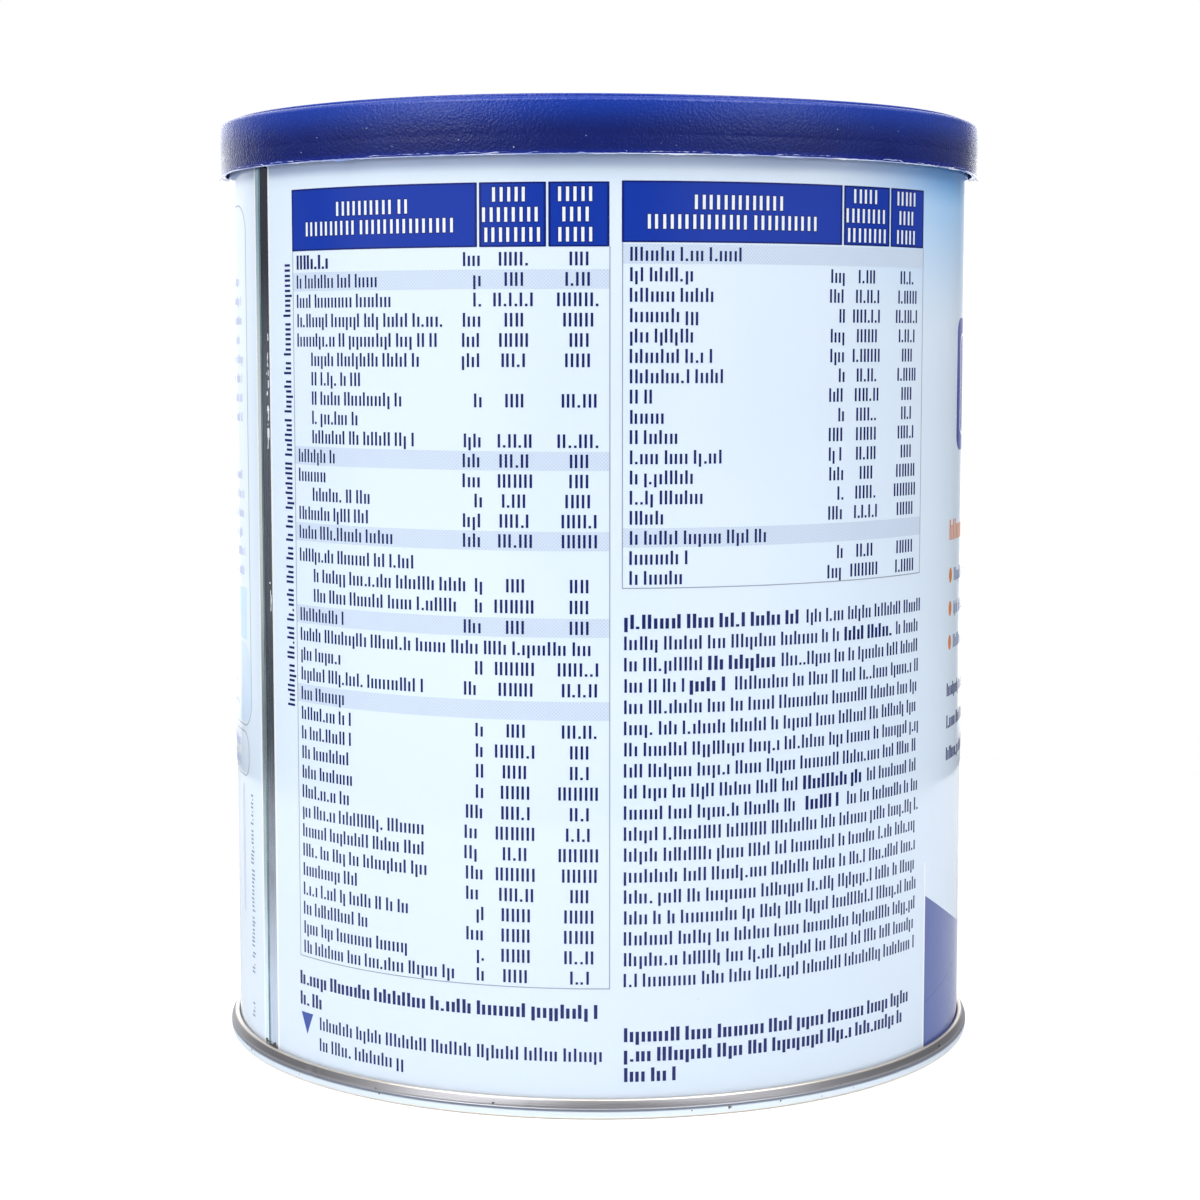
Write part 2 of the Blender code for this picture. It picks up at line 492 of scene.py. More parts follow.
@dataclass(frozen=True)
class InkFinish(Finish):
    """Ink under the tin's clear varnish.

    Attributes:
        name: The material's name.
        colour: The ink's base colour.
        second: Factor from the ink's first tone to its second.
        dots: Radius of the printer's dots in cells of their screen, 0 for solid ink.
        roughness: Middle roughness of the varnish.
    """

    name: str
    colour: Colour
    second: float = 0.97
    dots: float = 0.0
    roughness: float = 0.08

    def build(self) -> bpy.types.Material:
        """Build the material."""
        draft = Draft.start(self.name)
        drift = draft.drift(self.colour, scaled(self.colour, self.second), 240.0)
        colour = drift["Color"]
        if self.dots > 0:
            dots = Effect.DOTS.place(draft.shade, {"Vector": draft.pattern, "Dots per Metre": 2600.0,
                                                   "Radius": self.dots})
            colour = draft.shade.mix(dots["Mask"], scaled(self.colour, 1.14), colour)
        rough = draft.shade.ramp(drift["Share"], 0.0, 1.0, self.roughness - 0.02,
                                 self.roughness + 0.02)
        return draft.finish({"Base Color": colour, "Roughness": rough, "Specular IOR Level": 0.3,
                             "Normal": draft.bump(draft.skin(900.0, 120.0, 0.6), 0.000006)})


@dataclass(frozen=True)
class Layer:
    """Further base colour that fades in over the height, used for painted light and shade.

    Attributes:
        colour: The colour.
        start: Height at which it starts, in metres above the base.
        full: Height at which it is full, above or below the start.
    """

    colour: Colour
    start: float
    full: float

    def over(self, draft: Draft, colour: Any) -> bpy.types.NodeSocket:
        """Colour with the layer laid over it: a mix by the smooth step of the height."""
        share = draft.shade.ramp(draft.height(), self.start, self.full)
        return draft.shade.mix(share, colour, self.colour)


@dataclass(frozen=True)
class WallFinish(Finish):
    """Base coat of the printed wall: icy white all round, with a sky that fades in on the front.

    Attributes:
        name: The material's name.
        coat: Base colour of the coat.
        coat_shade: Second tone of the coat.
        foot: Painted shade: a darker colour towards the foot.
        lid_shadow: Painted shadow of the lid: a darker colour just under it.
        sky_lid_shadow: Painted shadow of the lid over the sky print: a darker blue just under it.
        sky: Base colour at the top of the front's sky.
        sky_sides: Where the sky starts and ends round the tin, in metres of arc length.
        sky_fade: Width of its soft sides, in metres.
        sky_heights: Where the sky fades out and where it is full, in metres above the base.
        roughness: Roughness of the varnish.
    """

    name: str = "printed_wall"
    coat: Colour = (0.745, 0.855, 0.985)
    coat_shade: Colour = (0.735, 0.845, 0.975)
    # Painted shade: the coat darkens towards the foot.
    foot: Layer = Layer((0.685, 0.785, 0.91), 0.070, 0.015)
    # Painted shadow: the coat darkens just under the lid's skirt.
    lid_shadow: Layer = Layer((0.50, 0.60, 0.80), 0.1448, 0.1467)
    # Painted shadow: the sky print darkens just under the lid.
    sky_lid_shadow: Layer = Layer((0.09, 0.33, 0.72), 0.1405, 0.1462)
    sky: Colour = (0.29, 0.58, 0.95)
    sky_sides: tuple[float, float] = (0.034, 0.288)
    sky_fade: float = 0.040
    sky_heights: tuple[float, float] = (0.119, 0.150)
    roughness: float = 0.075

    def build(self) -> bpy.types.Material:
        """Build the material."""
        draft = Draft.start(self.name)
        shade = draft.shade
        drift = draft.drift(self.coat, self.coat_shade, 38.0)
        round_tin = shade.add("ShaderNodeSeparateXYZ", {0: draft.pattern}).outputs["X"]
        left, right = self.sky_sides
        rises = shade.ramp(round_tin, left, left + self.sky_fade)
        falls = shade.ramp(round_tin, right - self.sky_fade, right, 1.0, 0.0)
        lifts = shade.ramp(draft.height(), *self.sky_heights)
        share = shade.math("MULTIPLY", shade.math("MULTIPLY", rises, falls), lifts)
        # Painted shade: the coat darkens towards the foot and under the lid, and so does the sky print
        # under the lid.
        coat = self.lid_shadow.over(draft, self.foot.over(draft, drift["Color"]))
        sky = shade.mix(share, coat, self.sky_lid_shadow.over(draft, self.sky))
        rubbed = shade.math("MULTIPLY", draft.rubs(900.0, 45.0, 0.71), 0.6)
        rough = shade.ramp(drift["Share"], 0.0, 1.0, self.roughness - 0.03, self.roughness + 0.04)
        return draft.finish({"Base Color": shade.mix(rubbed, sky, scaled(self.coat, 0.72)),
                             "Roughness": rough,
                             "Normal": draft.bump(draft.skin(900.0, 90.0, 0.7), 0.000008)})


@dataclass(frozen=True)
class SteelFinish(Finish):
    """Bare rolled tinplate, drawn in fine lines.

    Attributes:
        name: The material's name.
        colour: Base colour of the clean metal.
        dull: Base colour where it is rubbed dull.
        lines: How closely the fine lines lie round the tin, along the tin and outwards, per metre.
        roughness: Roughness between the lines.
        rubs: Threshold of the rub marks: the lower, the more of them.
        layers: Painted reflections and shade over the height.
    """

    name: str
    colour: Colour
    dull: Colour
    lines: tuple[float, float, float]
    roughness: float = 0.24
    rubs: float = 0.66
    layers: tuple[Layer, ...] = ()

    def build(self) -> bpy.types.Material:
        """Build the material."""
        draft = Draft.start(self.name)
        shade = draft.shade
        drawn = shade.noise(shade.stretched(draft.pattern, self.lines), 1.0, 3.0, 0.6)
        rubs = draft.rubs(1500.0, 130.0, self.rubs)
        colour = shade.mix(rubs, draft.drift(self.colour, self.dull, 150.0)["Color"], self.dull)
        # Painted reflections and shade over the height.
        for layer in self.layers:
            colour = layer.over(draft, colour)
        fine = shade.ramp(drawn, 0.3, 0.7, self.roughness - 0.06, self.roughness + 0.08)
        rough = shade.math("ADD", fine, shade.math("MULTIPLY", rubs, 0.22))
        return draft.finish({"Base Color": colour, "Metallic": 1.0, "Roughness": rough,
                             "Normal": draft.bump(drawn, 0.000006)})


@dataclass(frozen=True)
class PlasticFinish(Finish):
    """Satin moulded plastic with a pebbled skin.

    Attributes:
        name: The material's name.
        colour: Base colour.
        second: Second tone, where the colour runs thin or is rubbed.
        pebbles: How closely the pebbles lie, per metre.
        relief: Height of the pebbled skin in metres.
        roughness: Middle roughness.
        specular: Specular level.
        layers: Painted light over the height.
    """

    name: str
    colour: Colour
    second: Colour
    pebbles: float
    relief: float
    roughness: float = 0.25
    specular: float = 0.4
    layers: tuple[Layer, ...] = ()

    def build(self) -> bpy.types.Material:
        """Build the material."""
        draft = Draft.start(self.name)
        shade = draft.shade
        colour = draft.drift(self.colour, self.second, 130.0)["Color"]
        # Painted light over the height.
        for layer in self.layers:
            colour = layer.over(draft, colour)
        rubbed = shade.math("MULTIPLY", draft.rubs(1300.0, 60.0, 0.68), 0.35)
        red, green, blue = (0.5 * (channel + 0.35) for channel in self.second)
        skin = draft.skin(self.pebbles, 260.0, 0.3)
        rough = shade.ramp(skin, 0.3, 0.7, self.roughness - 0.05, self.roughness + 0.05)
        return draft.finish({"Base Color": shade.mix(rubbed, colour, (red, green, blue)),
                             "Roughness": rough, "Specular IOR Level": self.specular,
                             "Normal": draft.bump(skin, self.relief)})


# Painted reflections on the rim: warm foot line, pale lower band, dark step line, dark upper band, tan
# crest highlight.
RIM_STEEL = SteelFinish(
    "rim_steel", (0.66, 0.69, 0.73), (0.54, 0.56, 0.60), (25.0, 5200.0, 1.0), 0.36,
    layers=(Layer((0.36, 0.355, 0.375), 0.0014, 0.0018), Layer((0.76, 0.69, 0.62), 0.0028, 0.0030),
            Layer((0.20, 0.22, 0.27), 0.0018, 0.0016), Layer((0.78, 0.85, 0.92), 0.00145, 0.00115),
            Layer((0.98, 0.90, 0.80), 0.0005, 0.0002)))
# Painted reflections and shade on the lap and the margin: lighter near the foot and from 60 mm up, darker
# towards the lid.
LAP_STEEL = SteelFinish(
    "lacquered_lap", (0.43, 0.54, 0.59), (0.36, 0.47, 0.51), (4200.0, 30.0, 1.0),
    layers=(Layer((0.76, 0.95, 1.0), 0.035, 0.012), Layer((0.90, 1.0, 1.0), 0.060, 0.090),
            Layer((0.27, 0.47, 0.57), 0.105, 0.142)))
BARE_STEEL = SteelFinish(
    "bare_margin", (0.31, 0.35, 0.42), (0.25, 0.28, 0.34), (4200.0, 30.0, 1.0),
    layers=(Layer((0.56, 0.63, 0.76), 0.035, 0.012), Layer((0.48, 0.54, 0.64), 0.055, 0.090),
            Layer((0.085, 0.095, 0.14), 0.105, 0.135)))
WELD_STEEL = SteelFinish(
    "weld_ridge", (0.26, 0.36, 0.41), (0.17, 0.24, 0.28), (900.0, 700.0, 1.0), 0.34)
# Painted light on the lid: brighter blue towards the crown where light from above falls, and at the lip
# for bounced light.
LID_PLASTIC = PlasticFinish(
    "lid_plastic", (0.0022, 0.0100, 0.128), (0.0030, 0.0135, 0.152), 2500.0, 0.00016, 0.235,
    layers=(Layer((0.0050, 0.038, 0.34), 0.1505, 0.1560),
            Layer((0.0040, 0.018, 0.24), 0.1485, 0.1475)))
FLASH_PLASTIC = PlasticFinish(
    "flash_plastic", (0.20, 0.28, 0.62), (0.76, 0.81, 0.97), 2600.0, 0.00003)
GRIME = PlasticFinish(
    "rim_grime", (0.035, 0.030, 0.030), (0.30, 0.27, 0.25), 4000.0, 0.00002, 0.5, 0.3)
DUST = PlasticFinish(
    "dust_white", (0.50, 0.54, 0.66), (0.36, 0.40, 0.52), 4000.0, 0.00002, 0.6, 0.3)


@dataclass(frozen=True)
class Specks:
    """Specks scattered over an upright round surface, as closed six-sided domes.

    A speck's rim is a ragged hexagon in the surface's tangent plane, its crown lies 0.4 of its size
    along the surface's normal, and its foot the same below it. Its size is smallest + range * u^power
    for an even random u.

    Attributes:
        name: The piece's name.
        seed: Seed of the random draws.
        count: How many specks there are.
        heights: Lowest and highest place, in mm.
        sizes: Smallest size, range of sizes in mm, and the power: the higher, the fewer large ones.
        sunk: How far their middles lie under the surface, in mm.
    """

    name: str
    seed: int
    count: int
    heights: Span
    sizes: tuple[float, float, int]
    sunk: float = 0.0

    def build(self, radius_at: Callable[[Array], Array], slot: str, finish: Finish) -> None:
        """Make the specks.

        Args:
            radius_at: Gives the surface's radius at the given heights.
            slot: The record's material slot.
            finish: The finish.
        """
        rng = np.random.default_rng(self.seed)
        turn = rng.uniform(-pi, pi, self.count)
        height = rng.uniform(*self.heights, self.count)
        smallest, extra, power = self.sizes
        size = smallest + extra * rng.random(self.count) ** power
        level = np.zeros(self.count)
        normal = np.stack([np.sin(turn), -np.cos(turn), level], axis=1)
        side = np.stack([np.cos(turn), np.sin(turn), level], axis=1)
        up = np.array([0.0, 0.0, 1.0])
        middle = normal * (radius_at(height) - self.sunk)[:, None] + up * height[:, None]
        angle = 2 * pi * np.arange(6) / 6
        reach = size[:, None] * rng.uniform(0.6, 1.3, (self.count, 6))
        ring = (middle[:, None] + side[:, None] * (reach * np.cos(angle))[..., None]
                + up * (reach * np.sin(angle))[..., None])
        rise = (0.4 * size)[:, None] * normal
        ends = np.stack([middle + rise, middle - rise], axis=1)
        points = np.concatenate([ring, ends], axis=1).reshape(-1, 3)
        k = np.arange(6)
        front = np.stack([k, (k + 1) % 6, np.full(6, 6)], axis=1)
        behind = np.stack([(k + 1) % 6, k, np.full(6, 7)], axis=1)
        faces = np.concatenate([front, behind]) + 8 * np.arange(self.count)[:, None, None]
        faces = faces.reshape(-1, 3)
        places = points[:, [0, 2]] * MM
        add_piece(self.name, points, [faces], [places[faces]], slot, finish.material())


class Ink(Enum):
    """Inks of the label, each with its finish and how far it stands proud of the wall, in mm."""

    WHITE_EDGE = (InkFinish("edge_white", (0.86, 0.90, 0.94)), 0.012)
    HEADER = (InkFinish("header_blue", (0.005, 0.037, 0.37)), 0.016)
    HEADER_EDGE = (InkFinish("header_edge", (0.004, 0.015, 0.16)), 0.022)
    BAND = (InkFinish("band_screen", (0.56, 0.65, 0.79), dots=0.36), 0.016)
    WAVE = (InkFinish("wave_blue", (0.078, 0.120, 0.37)), 0.016)
    WAVE_SHADE = (InkFinish("wave_shade", (0.055, 0.085, 0.29)), 0.024)
    PALE_WAVE = (InkFinish("pale_wave", (0.42, 0.60, 0.86)), 0.012)
    PALE_BLOCK = (InkFinish("pale_block", (0.46, 0.66, 0.90), dots=0.3), 0.016)
    RULE = (InkFinish("rule_grey", (0.30, 0.34, 0.42)), 0.024)
    NAVY = (InkFinish("navy_marks", (0.012, 0.019, 0.135)), 0.030)
    SLATE = (InkFinish("slate_marks", (0.22, 0.26, 0.40)), 0.030)
    FRAME = (InkFinish("frame_line", (0.33, 0.44, 0.52)), 0.024)
    PALE_MARKS = (InkFinish("pale_marks", (0.50, 0.55, 0.78)), 0.030)
    TINT = (InkFinish("tint_blue", (0.60, 0.76, 0.95)), 0.012)
    ORANGE = (InkFinish("orange_marks", (0.70, 0.22, 0.05)), 0.030)
    WHITE = (InkFinish("white_marks", (0.84, 0.88, 0.93)), 0.034)
    POINTER = (InkFinish("pointer_blue", (0.038, 0.080, 0.35)), 0.030)
    STAIN = (InkFinish("stain_brown", (0.10, 0.08, 0.07)), 0.18)

    @property
    def finish(self) -> InkFinish:
        """The ink's finish."""
        return self.value[0]

    @property
    def proud(self) -> float:
        """How far the ink stands proud of the wall, in mm."""
        return self.value[1]


def wall_points(s: Array, z: Array, radius: Array | float) -> Array:
    """Points on the tin for places on the unrolled wall: (r sin(s/R), -r cos(s/R), z)."""
    turn = s / WALL_RADIUS
    return np.stack([radius * np.sin(turn), -radius * np.cos(turn), z], axis=-1)


@dataclass
class PrintSheet:
    """Shapes of the print, gathered by ink and made into one thin closed piece for each ink.

    Every shape is a curved slab: its outer face stands proud of the wall by the ink's height, and its
    inner face lies under the wall's surface, so that the sides are closed.

    Attributes:
        name: First word of the pieces' names.
        depth: How far the slabs reach under the wall's surface, in mm.
        step: Longest step round the tin in a wide shape, in mm.
    """

    name: str
    depth: float = 0.08
    step: float = 0.7
    boxes: dict[Ink, list[Array]] = field(default_factory=dict)
    strips: dict[Ink, list[tuple[Array, Array, bool]]] = field(default_factory=dict)

    def box(self, ink: Ink, s: Span, z: Span) -> None:
        """Add a rectangle from s[0] to s[1] round the tin and z[0] to z[1] up it."""
        count = max(2, int(np.ceil((s[1] - s[0]) / self.step)) + 1)
        across = np.linspace(*s, count)
        low, high = (np.stack([across, np.full(count, edge)], axis=1) for edge in z)
        self.strip(ink, low, high)

    def strip(self, ink: Ink, right: Array, left: Array, closed: bool = False) -> None:
        """Add the strip between two lines of (s, z) points, seen along them: right and left edge."""
        self.strips.setdefault(ink, []).append((right, left, closed))

    def marks(self, ink: Ink, boxes: Array) -> None:
        """Add many small rectangles at once: rows of lowest s, highest s, lowest z and highest z."""
        self.boxes.setdefault(ink, []).append(boxes)

    def disc(self, ink: Ink, middle: Span, radius: float, squash: float = 1.0) -> None:
        """Add a disc: z = middle +- squash * sqrt(radius^2 - s^2), blunt at its two ends."""
        count = max(12, int(pi * radius / self.step))
        across = -radius * np.cos(np.linspace(0.04, pi - 0.04, count))
        rise = squash * np.sqrt(radius ** 2 - across ** 2)
        low, high = (np.stack([middle[0] + across, middle[1] + sign * rise], 1)
                     for sign in (-1, 1))
        self.strip(ink, low, high)

    def outline(self, ink: Ink, s: Span, z: Span, corner: float, width: float) -> None:
        """Add a line round a rectangle with round corners.

        The line's inner and outer edge are rectangles whose corners are quarter circles about the
        same centres.

        Args:
            ink: The ink.
            s: The rectangle's sides.
            z: Its foot and top.
            corner: Outer radius of the corners.
            width: Width of the line.
        """
        loops = [rounded_contour(s, z, corner, inset) for inset in (0.0, width)]
        both = np.concatenate(loops, axis=1)
        both = refine(np.concatenate([both, both[:1]]), 2 * self.step)[:-1]
        self.strip(ink, both[:, :2], both[:, 2:], closed=True)

    def plate(self, ink: Ink, s: Span, z: Span, corner: float) -> None:
        """Add a filled rectangle whose edge drops by corner - sqrt(corner^2 - d^2) at its corners."""
        arc = corner * (1 - np.cos(np.linspace(0, pi / 2, 12)))
        middle = np.arange(s[0] + corner, s[1] - corner, self.step)[1:]
        across = np.concatenate([s[0] + arc, middle, (s[1] - arc)[::-1]])
        into = np.clip(corner - np.minimum(across - s[0], s[1] - across), 0, corner)
        drop = corner - np.sqrt(corner ** 2 - into ** 2)
        self.strip(ink, np.stack([across, z[0] + drop], 1), np.stack([across, z[1] - drop], 1))

    def slab_boxes(self, ink: Ink) -> tuple[Array, Array, Array]:
        """Points, faces and places of an ink's small rectangles: eight points and six quads each."""
        rows = np.concatenate(self.boxes[ink])
        outer, inner = WALL_RADIUS + ink.proud, WALL_RADIUS - self.depth
        s = rows[:, [0, 0, 0, 0, 1, 1, 1, 1]]
        z = rows[:, [3, 2, 2, 3, 3, 2, 2, 3]]
        radius = np.array([outer, outer, inner, inner] * 2)
        quads = np.array([[0, 1, 5, 4], [1, 2, 6, 5], [2, 3, 7, 6], [3, 0, 4, 7],
                          [0, 3, 2, 1], [4, 5, 6, 7]])
        faces = (quads + 8 * np.arange(len(rows))[:, None, None]).reshape(-1, 4)
        return wall_points(s, z, radius).reshape(-1, 3), faces, np.stack([s, z], -1).reshape(-1, 2)

    def slab_strip(self, ink: Ink, right: Array, left: Array,
                   closed: bool) -> tuple[Array, Array, Array]:
        """Points, faces and places of one strip, as a four-sided tube along it with closed ends."""
        outer, inner = WALL_RADIUS + ink.proud, WALL_RADIUS - self.depth
        places = np.stack([left, right, right, left], axis=1)
        radius = np.array([outer, outer, inner, inner])
        faces = grid_faces(len(left), 4, closed, True)
        if not closed:
            last = 4 * (len(left) - 1)
            ends = [[0, 3, 2, 1], [last, last + 1, last + 2, last + 3]]
            faces = np.concatenate([faces, ends])
        points = wall_points(places[..., 0], places[..., 1], radius)
        return points.reshape(-1, 3), faces, places.reshape(-1, 2)

    def build(self) -> None:
        """Make one piece for each ink."""
        for ink in Ink:
            made = [self.slab_strip(ink, *strip) for strip in self.strips.get(ink, [])]
            if ink in self.boxes:
                made.append(self.slab_boxes(ink))
            if not made:
                continue
            starts = np.cumsum([0] + [len(points) for points, _, _ in made[:-1]])
            points = np.concatenate([points for points, _, _ in made])
            faces = np.concatenate([faces + start for (_, faces, _), start in zip(made, starts)])
            places = np.concatenate([places for _, _, places in made]) * MM
            add_piece(f"{self.name}_{ink.finish.name}", points, [faces], [places[faces]],
                      "printed_steel", ink.finish.material())


def rounded_contour(s: Span, z: Span, corner: float, inset: float) -> Array:
    """Contour of a rectangle with round corners, turning to the left, set in by a distance.

    Each corner is a quarter circle of radius corner - inset about a centre that lies corner inside the
    rectangle's sides.
    """
    angle = np.linspace(0, pi / 2, max(9, round(2.3 * corner)))
    parts = []
    for quarter, (side, end) in enumerate(((1, 0), (1, 1), (0, 1), (0, 0))):
        centre = np.array([s[side] + (corner if side == 0 else -corner),
                           z[end] + (corner if end == 0 else -corner)])
        turn = angle + (quarter - 1) * pi / 2
        parts.append(centre + (corner - inset) * np.stack([np.cos(turn), np.sin(turn)], axis=1))
    return np.concatenate(parts)


@dataclass(frozen=True)
class MarkStyle:
    """Plain upright marks that stand for a line of small print, in mm. They spell nothing.

    Attributes:
        low: Height of a low mark.
        tall: Height of a tall mark.
        stroke: Width of a mark.
        pitch: Distance from mark to mark.
        word: Fewest and most marks in a row before a gap.
        gap: Width of that gap beyond the pitch.
        tall_share: Share of tall marks.
        hang_share: Share of marks that hang below the line.
        stub_share: Share of short stubs.
        stub: Height of a stub.
        hang: How far a mark hangs below the line.
        stray: How far a mark strays to the left or right.
    """

    low: float = 1.55
    tall: float = 2.1
    stroke: float = 0.38
    pitch: float = 0.79
    word: tuple[int, int] = (2, 12)
    gap: float = 0.6
    tall_share: float = 0.27
    hang_share: float = 0.07
    stub_share: float = 0.04
    stub: float = 0.38
    hang: float = 0.45
    stray: float = 0.05

    def line(self, start: float, length: float, z: float, rng: np.random.Generator) -> Array:
        """Marks from start on, over a length, with their tall marks centred on a height.

        The k-th mark lies at start + k * pitch plus one gap for each word that ended before it.

        Args:
            start: Left end of the line.
            length: Its length.
            z: Middle height of its tall marks.
            rng: Source of the random draws.

        Returns:
            Rows of lowest s, highest s, lowest z and highest z.
        """
        count = max(2, int(length / self.pitch) + 1)
        ends = np.cumsum(rng.integers(self.word[0], self.word[1] + 1, count))
        index = np.arange(count)
        words_before = np.searchsorted(ends, index, side="right")
        left = start + index * self.pitch + words_before * self.gap
        left = left + rng.uniform(-self.stray, self.stray, count)
        kind = rng.random(count)
        foot = np.full(count, z - self.tall / 2)
        top = foot + np.where(kind < self.tall_share, self.tall, self.low)
        top = np.where(kind > 1 - self.stub_share, foot + self.stub, top)
        hangs = (kind > self.tall_share) & (kind < self.tall_share + self.hang_share)
        foot = np.where(hangs, foot - self.hang, foot)
        first = np.concatenate([[0], ends[ends < count]])
        top[first] = foot[first] + self.tall
        marks = np.stack([left, left + self.stroke, foot, top], axis=1)
        return marks[left + self.stroke < start + length]

    def centred(self, middle: float, length: float, z: float,
                rng: np.random.Generator) -> Array:
        """Marks of a line that is centred on a place."""
        return self.line(middle - length / 2, length, z, rng)

    def rising(self, s: float, start: float, length: float, rng: np.random.Generator) -> Array:
        """Marks of a line that reads upwards, centred on s, from a height on."""
        flat = self.line(start, length, 0.0, rng)
        return np.stack([s - flat[:, 3], s - flat[:, 2], flat[:, 0], flat[:, 1]], axis=1)


PLAIN = MarkStyle()
FIGURES = MarkStyle(low=2.05, tall=2.05, stroke=0.39, pitch=0.82, word=(12, 30), hang_share=0.0,
                    stub_share=0.16)
BOLD = MarkStyle(low=1.6, tall=2.2, stroke=0.54, pitch=0.91, word=(3, 11))
CAPITALS = MarkStyle(low=2.15, tall=2.15, stroke=0.46, pitch=1.16, word=(10, 15), hang_share=0.0,
                     stub_share=0.0)
SMALL = MarkStyle(low=1.1, tall=1.45, stroke=0.34, pitch=0.68)
HEADLINE = MarkStyle(low=2.5, tall=3.4, stroke=0.6, pitch=1.15, word=(5, 12), gap=1.1)


@dataclass
class DataTable:
    """Table of values: a blue head in three blocks, rows of marks, banded rows and a thin border.

    Attributes:
        sides: Left and right edge.
        top: Top of the head.
        head: Height of the head.
        splits: Places of the two white gaps in the head.
        split_width: Width of those gaps.
        blocks: Runs of rows: height of the first, pitch and count.
        bands: Rows that lie on a band.
        lengths: Length of each row's label.
        insets: Rows whose label is set in.
        bare: Rows without values.
        units: Right edge of the units.
        figures: Middles of the two columns of values.
        foot: Height of the border's foot.
        edge_width: Width of the dark edge round each block of the head.
        halo: How far a dark edge stands out round each white mark.
        border: Width of the border's lines.
        band_height: Height of a band.
        label_inset: Place of a label from the left edge.
        deep_inset: Further inset of a set-in label.
        head_lines: For each block of the head, the lengths of its lines.
        head_pitch: Distance between those lines, where there are two and where there are more.
    """

    sides: Span
    top: float
    head: float
    splits: Span
    blocks: tuple[tuple[float, float, int], ...]
    bands: tuple[int, ...]
    lengths: tuple[float, ...]
    units: float
    figures: Span
    foot: float
    insets: tuple[int, ...] = ()
    bare: tuple[int, ...] = ()
    split_width: float = 0.6
    edge_width: float = 0.26
    halo: float = 0.14
    border: float = 0.14
    band_height: float = 2.9
    label_inset: float = 1.1
    deep_inset: float = 3.6
    head_lines: tuple[tuple[float, ...], ...] = ((14.5, 29.0), (6.2, 9.3, 8.7), (6.2, 5.0, 6.2))
    head_pitch: Span = (2.95, 3.0)

    def heights(self) -> Array:
        """Middle height of each row: first - pitch * k, run after run."""
        return np.concatenate([first - pitch * np.arange(count) for first, pitch, count in self.blocks])

    def draw_head(self, sheet: PrintSheet, rng: np.random.Generator) -> None:
        """Draw the head's three blocks and their white marks."""
        half = self.split_width / 2
        edges = [self.sides[0], self.splits[0] - half, self.splits[0] + half,
                 self.splits[1] - half, self.splits[1] + half, self.sides[1] - 0.2]
        foot, top = self.top - self.head, self.top
        for left, right, lines in zip(edges[::2], edges[1::2], self.head_lines):
            sheet.box(Ink.HEADER, (left, right), (foot, top))
            reach = 0.7 * self.edge_width
            for middle in (left + 0.05, right - 0.05):
                sheet.box(Ink.HEADER_EDGE, (middle - reach, middle + reach), (foot, top))
            reach = 0.5 * self.edge_width
            for middle in (foot + 0.1, top - 0.1):
                sheet.box(Ink.HEADER_EDGE, (left, right), (middle - reach, middle + reach))
            pitch = self.head_pitch[len(lines) > 2]
            first = (foot + top + pitch * (len(lines) - 1)) / 2
            for k, length in enumerate(lines):
                marks = CAPITALS.centred((left + right) / 2, min(length, right - left - 0.8),
                                         first - pitch * k, rng)
                sheet.marks(Ink.HEADER_EDGE, marks + self.halo * np.array([-1, 1, -1, 1]))
                sheet.marks(Ink.WHITE, marks)

    def draw_rows(self, sheet: PrintSheet, rng: np.random.Generator) -> None:
        """Draw the bands and each row's label, unit and values."""
        left, right = self.sides
        half = self.band_height / 2
        for row, (z, length) in enumerate(zip(self.heights(), self.lengths)):
            if row in self.bands:
                sheet.box(Ink.BAND, (left + 0.1, right - 0.1), (z - half, z + half))
            start = left + self.label_inset + (self.deep_inset if row in self.insets else 0.0)
            style = BOLD if row == 0 and len(self.bands) > 2 else PLAIN
            sheet.marks(Ink.NAVY, style.line(start, length, z, rng))
            if row in self.bare:
                continue
            unit = rng.choice([1.3, 3.0, 3.2])
            sheet.marks(Ink.NAVY, PLAIN.line(self.units - unit, unit, z, rng))
            for middle in self.figures:
                width = rng.choice([3.0, 4.2, 4.8, 5.4, 6.6])
                sheet.marks(Ink.NAVY, FIGURES.centred(middle, width, z, rng))

    def draw_border(self, sheet: PrintSheet) -> None:
        """Draw the thin border at the sides and the foot."""
        half = self.border / 2
        for side in self.sides:
            sheet.box(Ink.RULE, (side - half, side + half), (self.foot, self.top - self.head))
        sheet.box(Ink.RULE, (self.sides[0] - half, self.sides[1] + half),
                  (self.foot - self.border, self.foot))

    def draw(self, sheet: PrintSheet, rng: np.random.Generator) -> None:
        """Draw the whole table."""
        self.draw_head(sheet, rng)
        self.draw_rows(sheet, rng)
        self.draw_border(sheet)


class Panel:
    """Base of the label's panels: each draws on its own sheet, with its own random draws."""

    name: str
    seed: int

    def draw(self, sheet: PrintSheet, rng: np.random.Generator) -> None:
        """Draw the panel."""
        raise NotImplementedError

    def build(self) -> None:
        """Draw the panel and make its pieces."""
        sheet = PrintSheet(self.name)
        self.draw(sheet, np.random.default_rng(self.seed))
        sheet.build()


